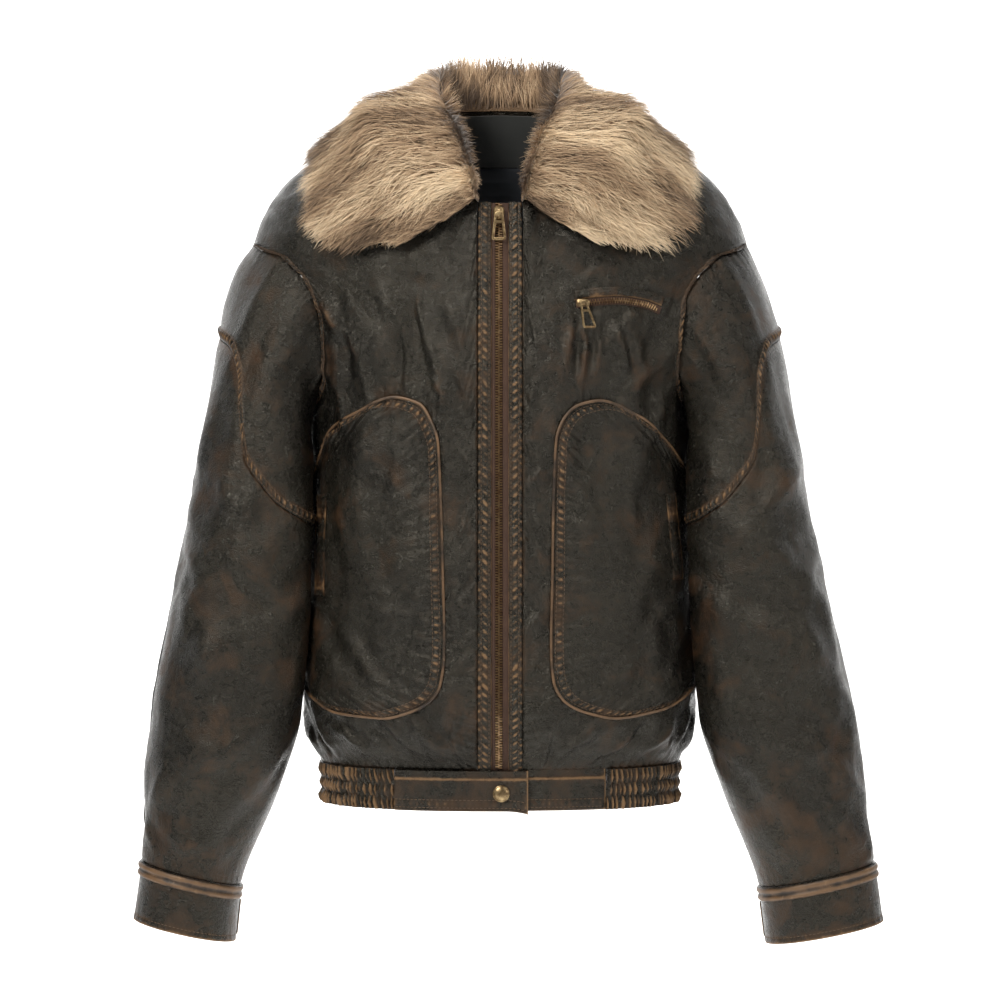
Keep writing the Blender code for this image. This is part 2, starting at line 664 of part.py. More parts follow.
def hem_flat(x, z):
    """Angles and heights on the front for breadths that may be on either side."""
    x = np.asarray(x, float)
    return np.stack([np.sign(x) * front_angle(np.abs(x), z), z + 0 * x], -1)


def make_band(name, x0, x1, steps, out, thick, top, bottom):
    """Flat leather piece of the hem in the front."""
    x = np.linspace(x0, x1, steps)
    z = np.linspace(top, bottom, 4)
    zz, xx = np.meshgrid(z, x, indexing="ij")
    return body_wall(name, hem_flat(xx, zz), (LEATHER, 0.45, 0.0), out, thick)


GATHERS = 96
HEM_ROWS = [(-567.5, 0.35), (-573.5, 1.0), (-579.5, 0.3), (-585.0, 1.0), (-590.5, 0.3),
            (-596.5, 1.0), (-602.0, 0.45)]


def make_hem():
    """Gathered elastic part of the hem, from one front band round the back to the other."""
    start = hem_flat(np.array([92.0]), -585.0)[0, 0]
    end = 2 * math.pi + hem_flat(np.array([-90.0]), -585.0)[0, 0]
    count = 2 * GATHERS + 1
    phi = np.linspace(start, end, count)
    wave = np.where(np.arange(count) % 2 == 1, 1.9, -1.3)
    wave[0] = wave[-1] = 0.0
    rows = []
    for z, swell in HEM_ROWS:
        rows.append(body(phi, np.full(count, z), 1.2 + swell * wave + 1.4 * swell))
    outer = np.array(rows)
    levels = np.array([HEM_ROWS[0][0], HEM_ROWS[-1][0]])
    inner = np.array([body(phi, np.full(count, z), -1.8) for z in levels])
    return sheet_with_plain_back("hem_elastic", outer, inner, (LEATHER, 0.45, 0.0))


def sheet_with_plain_back(name, outer, inner, look):
    """Closed wall whose inner side has only two rows and every second column."""
    rows, cols = outer.shape[:2]
    inner = inner[:, ::2]
    few = inner.shape[1]
    verts = np.concatenate([outer.reshape(-1, 3), inner.reshape(-1, 3)])
    half = rows * cols
    low = (rows - 1) * cols
    faces = []
    for r in range(rows - 1):
        for c in range(cols - 1):
            a = r * cols + c
            faces.append((a, a + 1, a + cols + 1, a + cols))
    for k in range(few - 1):
        c = 2 * k
        faces.append((half + k, half + few + k, half + few + k + 1, half + k + 1))
        faces.append((c, half + k, half + k + 1, c + 2, c + 1))
        faces.append((low + c + 1, low + c + 2, half + few + k + 1, half + few + k, low + c))
    for c, k, turn in ((0, 0, 1), (cols - 1, few - 1, -1)):
        side = [r * cols + c for r in range(rows)]
        side += [half + few + k, half + k]
        faces.append(side[::turn])
    return new_object(name, verts, faces, look)


def box(name, centre, size, look, bevel=0.0, tilt=0.0):
    """Box with softened edges, sizes in millimetres."""
    x, y, z = (s / 2 for s in size)
    verts = [(sx * x, sy * y, sz * z) for sx in (-1, 1) for sy in (-1, 1) for sz in (-1, 1)]
    faces = [(0, 1, 3, 2), (4, 6, 7, 5), (0, 4, 5, 1), (2, 3, 7, 6), (0, 2, 6, 4), (1, 5, 7, 3)]
    item = new_object(name, verts, faces, look, False)
    item.location = tuple(c * MM for c in centre)
    item.rotation_euler = (tilt, 0, 0)
    if bevel:
        edge = item.modifiers.new("Softened edges", "BEVEL")
        edge.width = bevel * MM
        edge.segments = 1
    return item


def make_pull(name, hinge, top, bottom, length, thick, lean=0.0):
    """Trapezoid pull tab with a window, its origin on the hinge axis."""
    outer = [(-top / 2, 1.0), (top / 2, 1.0), (bottom / 2, -length), (-bottom / 2, -length)]
    window = [(-top * 0.26, -length * 0.42), (top * 0.26, -length * 0.42),
              (bottom * 0.30, -length * 0.86), (-bottom * 0.30, -length * 0.86)]
    slant = math.tan(lean)
    verts = []
    for y in (-thick / 2, thick / 2):
        verts += [(x - z * slant, y, z) for x, z in outer + window]
    faces = []
    for i in range(4):
        j = (i + 1) % 4
        faces.append((i, j, 4 + j, 4 + i))
        faces.append((8 + i, 12 + i, 12 + j, 8 + j))
        faces.append((i, 8 + i, 8 + j, j))
        faces.append((4 + i, 4 + j, 12 + j, 12 + i))
    item = new_object(name, verts, faces, (BRASS, 0.4, 1.0), False)
    item.location = tuple(c * MM for c in hinge)
    return item


def zip_hardware(z):
    """Tape, teeth, slider and pull of the main zip."""
    front_strip("zip_tape", ZIP_X - 12.5, ZIP_X + 12.5, z, -2.4, 1.0, (TAPE, 0.8, 0.0))
    front_strip("zip_chain", ZIP_X - 3.0, ZIP_X + 3.0, z, 0.6, 2.6, (BRASS, 0.4, 1.0))


def make_snap():
    """Cap of the press stud on the hem tab."""
    flat = hem_flat(np.array([1.0]), -586.0)[0]
    base = body(flat[0], flat[1], 5.5)
    rings = [(7.0, 0.0), (7.0, 1.2), (6.2, 2.3), (3.6, 3.1)]
    sections = []
    for radius, lift in rings:
        angle = np.arange(16) * math.pi / 8
        sections.append(np.stack([base[0] + radius * np.cos(angle), np.full(16, base[1] - lift),
                                  base[2] + radius * np.sin(angle)], 1))
    return loft("snap_cap", sections, (BRASS, 0.4, 1.0))


def half_table(rows, t):
    """Values along half of the collar, from its front end to the back middle."""
    rows = np.array(rows, float)
    return curve(rows[:, 0], rows[:, 1:], t)


# Crest of the collar from front end to back middle: share of the way, x, y, z
CREST = [(0, 22, -114, -70), (0.15, 28, -99, -42), (0.30, 38, -73, -8), (0.45, 48, -38, 20),
         (0.625, 57, 4, 46), (0.75, 57, 34, 60), (0.88, 37, 66, 68), (1, 0, 79, 71)]
# Outer edge of the collar: share of the way, angle, height
FALL_EDGE = [(0, 37, -109), (0.12, 52, -105), (0.25, 62, -87), (0.40, 68, -55), (0.625, 90, -20),
             (0.75, 118, -33), (0.88, 150, -37), (1, 180, -33)]
# Height of the fur over the coat: share of the way, then near crest, middle, outer third, edge
FUR_HEIGHT = [(0, 11, 14, 14, 9), (0.2, 22, 20, 17, 10), (0.45, 32, 25, 18, 10), (0.625, 35, 26, 18, 9),
              (0.8, 33, 25, 20, 11), (1, 28, 23, 19, 11)]
UNDER = 6.6


def collar_sections():
    """Sections of the fur collar from the wearer's left front end round to the right."""
    front = neckline_half(NECK_STEPS)
    back = neckline_back(12)[1:7]
    neck = np.concatenate([front, back])
    t = np.concatenate([np.linspace(0, 0.625, 6), np.linspace(0.625, 1, 7)[1:]])
    beyond = inset(neck, 0.8, 1)
    beyond[-1, 0] = math.pi
    edge = half_table(FALL_EDGE, t)
    edge = edge * [math.pi / 180, 1]
    crest = half_table(CREST, t)
    heights = half_table(FUR_HEIGHT, t)
    axis = np.stack([0 * t, np.full_like(t, -20.0), crest[:, 2]], 1)
    inward = unit(axis - crest)
    foot = body(beyond[:, 0], beyond[:, 1], -1.5)
    top_foot = body(beyond[:, 0], beyond[:, 1], UNDER)
    up = np.array([0.0, 0.0, 1.0])
    rise = np.linalg.norm(crest - foot, axis=1, keepdims=True)
    plump = np.minimum(rise / 45, 1)
    points = [foot,
              foot * 0.65 + crest * 0.35 + inward * 7 * plump,
              foot * 0.3 + crest * 0.7 + inward * 9 * plump,
              crest + inward * 7 * plump - up * 3 * plump,
              crest + up * 3 * plump,
              crest - inward * 9 * plump - up * 2 * plump]
    for k, share in enumerate((0.3, 0.55, 0.8)):
        flat = neck * (1 - share) + edge * share
        points.append(body(flat[:, 0], flat[:, 1], UNDER + heights[:, k]))
    out = edge + (edge - neck) * 0.03
    points.append(body(out[:, 0], out[:, 1], UNDER + heights[:, 3]))
    points.append(body(edge[:, 0], edge[:, 1], UNDER))
    for share in (0.66, 0.33):
        flat = neck * (1 - share) + edge * share
        points.append(body(flat[:, 0], flat[:, 1], UNDER))
    points.append(top_foot)
    half = np.stack(points, 1)
    other = half[::-1][1:] * [-1, 1, 1]
    return np.concatenate([half, other])


def make_collar():
    """Fur collar and the leather under its fall."""
    loft("collar_fur", collar_sections(), (FUR, 0.9, 0.0))
    front = neckline_half(NECK_STEPS)
    back = neckline_back(12)[1:7]
    neck = np.concatenate([front, back])
    t = np.concatenate([np.linspace(0, 0.625, 6), np.linspace(0.625, 1, 7)[1:]])
    edge = half_table(FALL_EDGE, t) * [math.pi / 180, 1]
    share = np.array([0.05, 0.33, 0.66, 0.98])[:, None, None]
    half = neck[None] * (1 - share) + edge[None] * share
    other = half[:, ::-1][:, 1:] * [-1, 1] + [2 * math.pi, 0]
    flat = np.concatenate([half, other], 1)
    return body_wall("under_collar", flat, (LEATHER, 0.5, 0.0), UNDER - 1.0, 1.3)


def make_lining():
    """Neck facing and the lining under it, as far as the open neck shows them."""
    phi = np.radians(np.linspace(104, 256, 11))
    neck = neckline_back(12)
    top = curve(neck[:, 0], neck[:, 1], phi) - 2.0
    rows = [(top, np.full_like(top, -22.0), "back_neck_facing", 3),
            (np.full_like(top, -23.0), np.full_like(top, -120.0), "lining_back", 4)]
    for first, last, name, count in rows:
        t = np.linspace(0, 1, count)[:, None]
        z = first[None] * (1 - t) + last[None] * t
        flat = np.stack([np.broadcast_to(phi, z.shape), z], -1)
        body_wall(name, flat, (LINING, 0.8, 0.0), -4.8, 1.2)


def surface_of(item):
    """Search tree of an object that has not been moved."""
    mesh = item.data
    verts = [v.co.copy() for v in mesh.vertices]
    return BVHTree.FromPolygons(verts, [tuple(f.vertices) for f in mesh.polygons])


def laid_strip(name, tree, line, width, lift, thick, look, across=3):
    """Flat strip that lies on a panel along a line of breadths and heights."""
    line = np.asarray(line, float)
    run = unit(np.gradient(line, axis=0))
    side = np.stack([-run[:, 1], run[:, 0]], 1)
    outer = []
    inner = []
    for s in np.linspace(0.5, -0.5, across):
        top = []
        low = []
        for x, z in line + side * width * s:
            hit, normal, face, reach = tree.ray_cast(Vector((x * MM, -0.5, z * MM)), Vector((0, 1, 0)))
            place = np.array(hit) / MM
            away = np.array(normal)
            away = away * (1 if away[1] < 0 else -1)
            top.append(place + away * (lift + thick))
            low.append(place + away * lift)
        outer.append(top)
        inner.append(low)
    return wall(name, outer, inner, look)


def even(points, count):
    """Even steps along a line of breadths and heights."""
    points = np.asarray(points, float)
    reach = np.concatenate([[0], np.cumsum(np.linalg.norm(np.diff(points, axis=0), axis=1))])
    return curve(reach, points, np.linspace(0, reach[-1], count))


CHEST_ZIP = [(66, -163.5), (84, -161.5), (103, -160.5), (126, -163), (140, -168)]
CHEST_WELT = [(64, -156), (84, -153.5), (103, -152.5), (126, -154.5), (142, -160)]


def make_chest_pocket(front):
    """Zipped chest pocket on the wearer's left."""
    tree = surface_of(front)
    laid_strip("chest_pocket_welt", tree, even(CHEST_WELT, 11), 8.0, 0.7, 1.3, (WORN, 0.5, 0.0), 2)
    laid_strip("chest_pocket_zip", tree, even(CHEST_ZIP, 11), 5.6, 0.7, 1.4, (BRASS, 0.4, 1.0), 2)
    hit = tree.ray_cast(Vector((0.072, -0.5, -0.1625)), Vector((0, 1, 0)))[0]
    y = hit[1] / MM
    box("pocket_slider", (72, y - 5.0, -162.5), (12, 3.4, 7), (BRASS, 0.4, 1.0), 1.0)
    make_pull("pocket_pull", (72, y - 8.1, -161.5), 6.0, 12.0, 23.0, 1.3, math.radians(14))


POCKET_LEFT = [(149, -327), (151, -346), (153, -366), (155, -385), (156, -403)]
POCKET_RIGHT = [(-156, -328), (-157, -350), (-158, -372), (-158, -395), (-158, -418)]


def main():
    """Build every piece of the jacket."""
    for item in list(bpy.data.objects):
        bpy.data.objects.remove(item, do_unlink=True)
    fronts = {}
    for side, table in ((1, PANEL_EDGE), (-1, PANEL_EDGE_RIGHT)):
        fronts[side] = make_front(side, table)
        panel = make_side_panel(side, table)
        make_piping(side, table)
        word = "left" if side > 0 else "right"
        line = even(POCKET_LEFT if side > 0 else POCKET_RIGHT, 9)
        tree = surface_of(panel)
        laid_strip("hand_pocket_welt_" + word, tree, line, 9.0, 0.9, 1.3, (WORN, 0.5, 0.0))
    make_back()
    rim = front_rim()
    first = ARM_STEPS + SHOULDER_STEPS + NECK_STEPS
    z = rim[first:first + PLACKET_STEPS + 1, 1].copy()
    z[0] -= SEAM
    z[-1] += SEAM
    make_placket(1, z)
    make_placket(-1, z)
    make_sleeve(1, SLEEVE_LEFT)
    make_sleeve(-1, SLEEVE_RIGHT)
    zip_hardware(z)
    box("zip_slider", (ZIP_X, -108.3, -84.5), (10.5, 4.6, 12.0), (BRASS, 0.4, 1.0), 1.2, math.radians(-17))
    make_pull("zip_pull", (ZIP_X, -113.2, -84.0), 8.0, 13.0, 24.0, 1.5)
    make_hem()
    make_band("band_front_left", 22.5, 89.0, 8, 0.8, 3.2, HEM_TOP_Z - 0.6, HEM_EDGE_Z)
    make_band("band_front_right", -87.0, 24.0, 12, 4.8, 3.4, HEM_TOP_Z - 0.6, HEM_EDGE_Z)
    make_snap()
    make_collar()
    make_lining()
    make_chest_pocket(fronts[1])


if __name__ == "__main__":
    main()
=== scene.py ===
"""Looks of the distressed leather jacket with a fur collar.

The surfaces repeat the sizes of the part's source, in millimetres, at a finer grid.
"""

import math
from functools import partial

import bmesh
import bpy
import numpy as np
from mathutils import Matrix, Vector


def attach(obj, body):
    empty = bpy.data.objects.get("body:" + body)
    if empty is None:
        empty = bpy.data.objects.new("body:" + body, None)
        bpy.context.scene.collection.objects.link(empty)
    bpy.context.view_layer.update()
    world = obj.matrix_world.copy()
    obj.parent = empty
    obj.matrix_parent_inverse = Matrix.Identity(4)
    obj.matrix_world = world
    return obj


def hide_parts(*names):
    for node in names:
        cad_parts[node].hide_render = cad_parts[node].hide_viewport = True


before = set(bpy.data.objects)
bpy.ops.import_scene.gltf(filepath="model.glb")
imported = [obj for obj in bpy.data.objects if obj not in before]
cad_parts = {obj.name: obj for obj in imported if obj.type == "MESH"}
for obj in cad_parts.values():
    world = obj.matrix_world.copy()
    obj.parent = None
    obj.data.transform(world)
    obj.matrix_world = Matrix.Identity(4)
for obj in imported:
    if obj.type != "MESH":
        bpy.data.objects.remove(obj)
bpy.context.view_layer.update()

TURN = 2 * math.pi
# Angle of the side of the body, where the shoulder and side seams lie
SIDE = math.pi / 2
MM = 0.001
# Thickness of the leather and half gap of a seam, in millimetres as all sizes are
WALL = 2.0
SEAM = 0.22
# Half of a seam's gap as an angle, at the side and at the shoulder
SIDE_GAP = SEAM / 165
SHOULDER_GAP = SEAM / 100
# Depth of the inner side of a leather wall under the plain surface
INSIDE = -WALL - 0.2
# Millimetres a radian round the body and round a sleeve, and millimetres a sleeve ring
AROUND = 150.0
FLAT = np.array([AROUND, 1.0])
ROUND_ARM = 62
RING = 70
SHOULDER_TIP_Z = -103.0
NECK_Z = 8.0
ARMPIT_Z = -245.0
HEM_TOP_Z = -567.0
HEM_EDGE_Z = -602.0
HEM_MIDDLE_Z = -585.0
ZIP_TOP_Z = -77.0
# Middle of the zip, then inner and outer edge of the strips beside it
ZIP_X = -1.0
PLACKET_IN = 7.3
PLACKET_OUT = 19.5
# Steps of the rim along its armhole, shoulder, neckline, placket and hem
ARM_STEPS = 10
SHOULDER_STEPS = 4
NECK_STEPS = 5
PLACKET_STEPS = 12
HEM_STEPS = 6
# Number of the rim's point at the top of the zip, and of its last point
ZIP_START = ARM_STEPS + SHOULDER_STEPS + NECK_STEPS
RIM_STEPS = ZIP_START + PLACKET_STEPS + HEM_STEPS
# Height of the fall of the collar over the coat
UNDER = 6.6
# Points of the outer side of a wall to one of its inner side, and the same for the hem
STEP = 4
HEM_STEP = 8
# Columns of points along the armhole of a front, and round a cuff
ARM_COLUMNS = 120
CUFF_COLUMNS = 160
# Half gap of the cap's seam as a share of a ring
CAP_GAP = 0.0035
# Squareness of a sleeve's section
SLEEVE_SQUARE = 0.93
# Ribs along the armhole: near and far edge, pitch
ARM_RIBS = (1.6, 8.6, 6.2)
# Stitches: pitch, half length and height of the middle over the leather
STITCH_PITCH = 3.6
STITCH_HALF = 1.3
STITCH_RISE = 0.28
# Colours of a hair from root to tip
HAIR_DARK = np.array([0.100, 0.064, 0.040])
HAIR_MID = np.array([0.44, 0.295, 0.175])
HAIR_LIGHT = np.array([0.88, 0.71, 0.49])
WORDS = {1: "left", -1: "right"}
# Outline of a zip slider: breadths and heights
SHIELD = [(-4.6, 4.6), (-3.2, 6.0), (0, 6.4), (3.2, 6.0), (4.6, 4.6), (4.9, 0.5), (3.9, -4.4), (2.6, -5.8),
          (0, -6.0), (-2.6, -5.8), (-3.9, -4.4), (-4.9, 0.5)]

# Body sections: height, half width, depth in front, depth behind, squareness
BODY = np.array([
    (-602, 158, 118, 110, 2.25),
    (-567, 160, 121, 114, 2.25),
    (-545, 171, 133, 127, 2.3),
    (-508, 177, 140, 133, 2.3),
    (-423, 174, 135, 128, 2.3),
    (-333, 169, 131, 125, 2.3),
    (-300, 167, 130, 125, 2.3),
    (-245, 167, 127, 125, 2.3),
    (-205, 181, 124, 125, 2.3),
    (-165, 199, 119, 124, 2.25),
    (-140, 211, 115, 122, 2.2),
    (-120, 219, 112, 120, 2.2),
    (-103, 221, 109, 119, 2.2),
    (-88, 217, 106, 118, 2.15),
    (-72, 209, 101, 115, 2.1),
    (-54, 197, 92, 111, 2.05),
    (-36, 178, 82, 105, 2.0),
    (-20, 146, 70, 98, 2.0),
    (-10, 120, 61, 92, 2.0),
    (8, 75, 55, 82, 2.0),
    (25, 60, 50, 75, 2.0),
], float)

# Folds of the body: angle and height of both ends, half width, height
BODY_FOLDS = [
    (42, -150, 52, -300, 16, 3.2), (30, -175, 36, -285, 14, -2.4),
    (62, -215, 44, -330, 15, 2.6), (20, -255, 33, -375, 13, 2.0),
    (55, -520, 78, -470, 14, 3.4), (28, -545, 52, -500, 12, 2.6),
    (72, -545, 86, -505, 12, -2.4), (14, -540, 24, -470, 11, 1.8),
    (-44, -140, -50, -290, 16, 3.4), (-33, -170, -30, -320, 14, -2.4),
    (-60, -230, -46, -345, 15, 2.8), (-19, -240, -34, -390, 13, 2.2),
    (-52, -525, -80, -465, 14, 3.6), (-26, -548, -50, -498, 12, 2.6),
    (-70, -548, -86, -508, 12, -2.4), (-14, -545, -22, -480, 11, 1.8),
    (128, -240, 150, -330, 17, 3.2), (118, -290, 140, -400, 16, -2.6),
    (232, -240, 210, -335, 17, 3.4), (242, -295, 222, -395, 16, -2.6),
    (110, -540, 132, -480, 14, 3.4), (145, -550, 160, -490, 13, 3.0),
    (180, -548, 184, -480, 13, 2.8), (215, -550, 200, -488, 13, 3.0),
    (250, -540, 228, -478, 14, 3.4), (165, -200, 172, -330, 18, 2.2),
]

# Front and back edge of the armhole, tip to armpit: half breadth and height
ARMHOLE_FRONT = [(221, -103), (187, -121), (172, -140), (160, -165), (155, -205), (159, -235), (167, -245)]
ARMHOLE_BACK = [(221, -103), (190, -118), (172, -142), (160, -170), (156, -205), (160, -234), (167, -245)]
# Neckline, front end to the middle of the back: angle and height
NECKLINE = [(11, -70), (22, -50), (40, -21), (62, -3), (90, 8), (120, 17), (150, 23), (180, 25)]
# Edge of the side panel, upper end at the side seam round to the lower end
PANEL_EDGE = [
    (167, -318), (158, -296), (146, -282), (117, -260), (87, -247), (68, -251), (54, -264),
    (48, -282), (46, -330), (45, -400), (44, -470), (46, -490), (55, -506), (74, -516),
    (99, -521), (138, -515), (165, -502), (177, -488),
]
PANEL_EDGE_RIGHT = [
    (167, -318), (160, -296), (149, -272), (124, -258), (92, -244), (70, -250), (60, -264),
    (53, -284), (51, -330), (49, -400), (48, -470), (51, -492), (61, -507), (81, -517),
    (99, -521), (138, -518), (163, -507), (177, -490),
]
# Places that the rows of a front bend through, from the armpit round to the placket's top:
# millimetres from the front middle along the waist, and height
FRONT_BENDS = [
    (216, -276), (199, -270), (180, -262), (163, -248), (149, -232), (137, -210), (128, -182),
    (122, -135), (118, -105), (116, -85), (113, -74), (110, -66), (107, -59), (104, -53),
    (97, -62), (86, -80), (73, -96), (56, -108), (38, -118),
]
# Sleeve rings: outer x and z, inner x and z, half depth, centre in y
SLEEVE_LEFT = np.array([
    (268, -300, 157, -300, 80, -14), (280, -360, 157, -362, 76, -24), (293, -423, 160, -428, 71, -34),
    (311, -508, 173, -516, 64, -43), (321, -575, 197, -590, 57, -48), (331, -652, 229, -674, 47, -50),
    (338, -704, 236, -724, 46, -50),
], float)
SLEEVE_RIGHT = np.array([
    (269, -300, 157, -300, 80, -14), (281, -360, 157, -362, 76, -24), (291, -423, 160, -428, 71, -34),
    (306, -508, 173, -516, 64, -43), (315, -575, 196, -590, 57, -48), (317, -650, 229, -672, 46, -50),
    (323, -702, 235, -722, 45, -50),
], float)
# Seam between sleeve cap and sleeve: angle round the sleeve and ring number
CAP_SEAM = [(0, 0.44), (25, 0.46), (48, 0.56), (66, 0.74), (80, 0.96), (92, 1.25), (112, 1.62),
            (140, 1.85), (180, 1.95)]
# Folds of a sleeve: angle and ring number of both ends, half width, height
SLEEVE_FOLDS = [
    (20, 0.9, 70, 1.5, 15, 3.0), (120, 1.7, 70, 2.4, 14, 3.4), (150, 2.4, 95, 3.0, 13, -3.0),
    (130, 2.9, 60, 3.5, 14, 3.4), (60, 3.3, 20, 4.1, 14, 2.6), (130, 3.8, 80, 4.6, 12, 3.0),
    (70, 4.6, 25, 5.2, 12, 2.8), (150, 4.7, 110, 5.4, 11, -2.6), (210, 2.1, 260, 2.7, 15, 3.6),
    (200, 2.7, 250, 3.3, 13, -3.0), (215, 3.3, 275, 3.9, 14, 3.6), (240, 4.1, 300, 4.7, 12, 3.2),
    (340, 1.2, 300, 2.2, 16, 2.8), (330, 3.0, 350, 4.2, 15, 2.6), (300, 5.0, 340, 5.5, 10, 2.4),
]
# Crest of the collar from front end to back middle: share of the way, x, y, z
CREST = [(0, 22, -114, -70), (0.15, 28, -99, -42), (0.30, 38, -73, -8), (0.45, 48, -38, 20),
         (0.625, 57, 4, 46), (0.75, 57, 34, 60), (0.88, 37, 66, 68), (1, 0, 79, 71)]
# Outer edge of the collar: share of the way, angle, height
FALL_EDGE = [(0, 37, -109), (0.12, 52, -105), (0.25, 62, -87), (0.40, 68, -55), (0.625, 90, -20),
             (0.75, 118, -33), (0.88, 150, -37), (1, 180, -33)]
# Height of the fur over the coat: share of the way, then near crest, middle, outer third, edge
FUR_HEIGHT = [(0, 11, 14, 14, 9), (0.2, 22, 20, 17, 10), (0.45, 32, 25, 18, 10), (0.625, 35, 26, 18, 9),
              (0.8, 33, 25, 20, 11), (1, 28, 23, 19, 11)]
GATHERS = 96
# Lines of the chest zip, of the welt over it and of the hand pockets: breadths and heights
CHEST_ZIP = [(66, -163.5), (84, -161.5), (103, -160.5), (126, -163), (140, -168)]
CHEST_WELT = [(64, -156), (84, -153.5), (103, -152.5), (126, -154.5), (142, -160)]
POCKET_LEFT = [(149, -327), (151, -346), (153, -366), (155, -385), (156, -403)]
POCKET_RIGHT = [(-156, -328), (-157, -350), (-158, -372), (-158, -395), (-158, -418)]
POCKETS = {1: POCKET_LEFT, -1: POCKET_RIGHT}
SEWING = {"front": [], "back": [], "sleeves": [], "hem": []}


def slopes(xs, ys):
    """Slopes that keep a curve through the points free of overshoot."""
    step = np.diff(xs)
    rise = np.diff(ys, axis=0) / step.reshape([-1] + [1] * (ys.ndim - 1))
    out = np.zeros_like(ys)
    out[0] = rise[0]
    out[-1] = rise[-1]
    same = rise[:-1] * rise[1:] > 0
    total = rise[:-1] + rise[1:]
    total = np.where(np.abs(total) < 1e-12, 1.0, total)
    out[1:-1] = np.where(same, 2 * rise[:-1] * rise[1:] / total, 0.0)
    return out


def curve(xs, ys, at):
    """Smooth values at the places asked for, through the points of a table."""
    xs = np.asarray(xs, float)
    ys = np.asarray(ys, float)
    at = np.clip(np.asarray(at, float), xs[0], xs[-1])
    i = np.clip(np.searchsorted(xs, at, side="right") - 1, 0, len(xs) - 2)
    h = xs[i + 1] - xs[i]
    t = (at - xs[i]) / h
    m = slopes(xs, ys)
    if ys.ndim > 1:
        t = t[..., None]
        h = h[..., None]
    a = (1 + 2 * t) * (1 - t) ** 2 * ys[i] + t * (1 - t) ** 2 * h * m[i]
    b = t * t * (3 - 2 * t) * ys[i + 1] + t * t * (t - 1) * h * m[i + 1]
    return a + b


def unit(v):
    """Vectors of length one."""
    size = np.linalg.norm(v, axis=-1, keepdims=True)
    return v / np.maximum(size, 1e-9)


def folds(u, v, lines):
    """Height of the soft ridges and troughs at flat places u and v in millimetres."""
    total = np.zeros(np.broadcast(u, v).shape)
    for u0, v0, u1, v1, width, height in lines:
        du = u1 - u0
        dv = v1 - v0
        along = np.clip(((u - u0) * du + (v - v0) * dv) / (du * du + dv * dv), 0, 1)
        gap = np.hypot(u - u0 - along * du, v - v0 - along * dv)
        total = total + height * np.exp(-((gap / width) ** 2))
    return total


def look_up(table, at):
    """Smooth values at the places asked for, through the rows of a table that each start with a place."""
    rows = np.array(table, float)
    return curve(rows[:, 0], rows[:, 1:], at)


def body_base(phi, z):
    """Body surface without folds, phi from the front middle towards the wearer's left."""
    phi = np.asarray(phi, float)
    z = np.asarray(z, float)
    a, f, b, n = np.moveaxis(look_up(BODY, z), -1, 0)
    s = np.sin(phi)
    c = np.cos(phi)
    d = np.where(c > 0, f, b)
    r = (np.abs(s / a) ** n + np.abs(c / d) ** n) ** (-1 / n)
    return np.stack([r * s, -r * c, z + 0 * r], -1)


def body_normal(phi, z):
    """Outward direction of the body surface."""
    e = 0.01
    h = 1.5
    across = body_base(phi + e, z) - body_base(phi - e, z)
    down = body_base(phi, z - h) - body_base(phi, z + h)
    return unit(np.cross(down, across))


def body_folds(phi, z):
    """Relief of the body in millimetres, fading out at the seams at top and hem."""
    lines = [(math.radians(p0) * AROUND, z0, math.radians(p1) * AROUND, z1, w, h)
             for p0, z0, p1, z1, w, h in BODY_FOLDS]
    wrapped = np.mod(phi + SIDE, TURN) - SIDE
    fade = np.clip((z - HEM_TOP_Z) / 14, 0, 1) * np.clip((-60 - z) / 40, 0, 1)
    return folds(wrapped * AROUND, z, lines) * fade


def face_angle(x, z, column):
    """Angle off the middle of the front, column 1, or of the back, column 2, at breadth x and height z."""
    section = np.moveaxis(look_up(BODY, z), -1, 0)
    wide, power = section[0], section[3]
    y = section[column] * np.maximum(1 - np.minimum(np.abs(x) / wide, 1) ** power, 0) ** (1 / power)
    return np.arctan2(x, y)


def body(phi, z, out=0.0):
    """Point of the body surface, moved out along its normal."""
    lift = body_folds(phi, z) + out
    return body_base(phi, z) + body_normal(phi, z) * np.asarray(lift)[..., None]


def front_angle(x, z):
    """Angle of the point of the front at breadth x and height z."""
    return face_angle(x, z, 1)


def back_angle(x, z):
    """Angle of the point of the back at breadth x and height z."""
    return math.pi - face_angle(x, z, 2)


def along(points, count):
    """Even steps along a flat line of angles and heights."""
    points = np.asarray(points, float)
    reach = run(points * FLAT)
    return curve(reach, points, np.linspace(0, reach[-1], count + 1))


def seam_to_seam(table, angle, count):
    """Even flat line through breadths and heights, with both ends on the side of the body."""
    rows = np.array(table, float)
    phi = angle(rows[:, 0], rows[:, 1])
    phi[0] = phi[-1] = SIDE
    return along(np.stack([phi, rows[:, 1]], 1), count)


def armhole(front, count):
    """Armhole edge from shoulder tip to armpit, as angles and heights."""
    if front:
        return seam_to_seam(ARMHOLE_FRONT, front_angle, count)
    return seam_to_seam(ARMHOLE_BACK, back_angle, count)


def inset(line, distance, side):
    """Flat line moved sideways by a small distance, side is +1 for left of its run."""
    scaled = line * FLAT
    way = unit(np.gradient(scaled, axis=0))
    move = np.stack([-way[:, 1], way[:, 0]], 1) * side * distance
    return (scaled + move) / FLAT


def wave(s, seed):
    """Smooth random values along a line, one knot a unit."""
    knots = np.random.default_rng(seed).uniform(-1, 1, 256)
    s = np.asarray(s, float)
    i = np.floor(s).astype(int)
    t = s - i
    t = t * t * (3 - 2 * t)
    return knots[i % 256] * (1 - t) + knots[(i + 1) % 256] * t


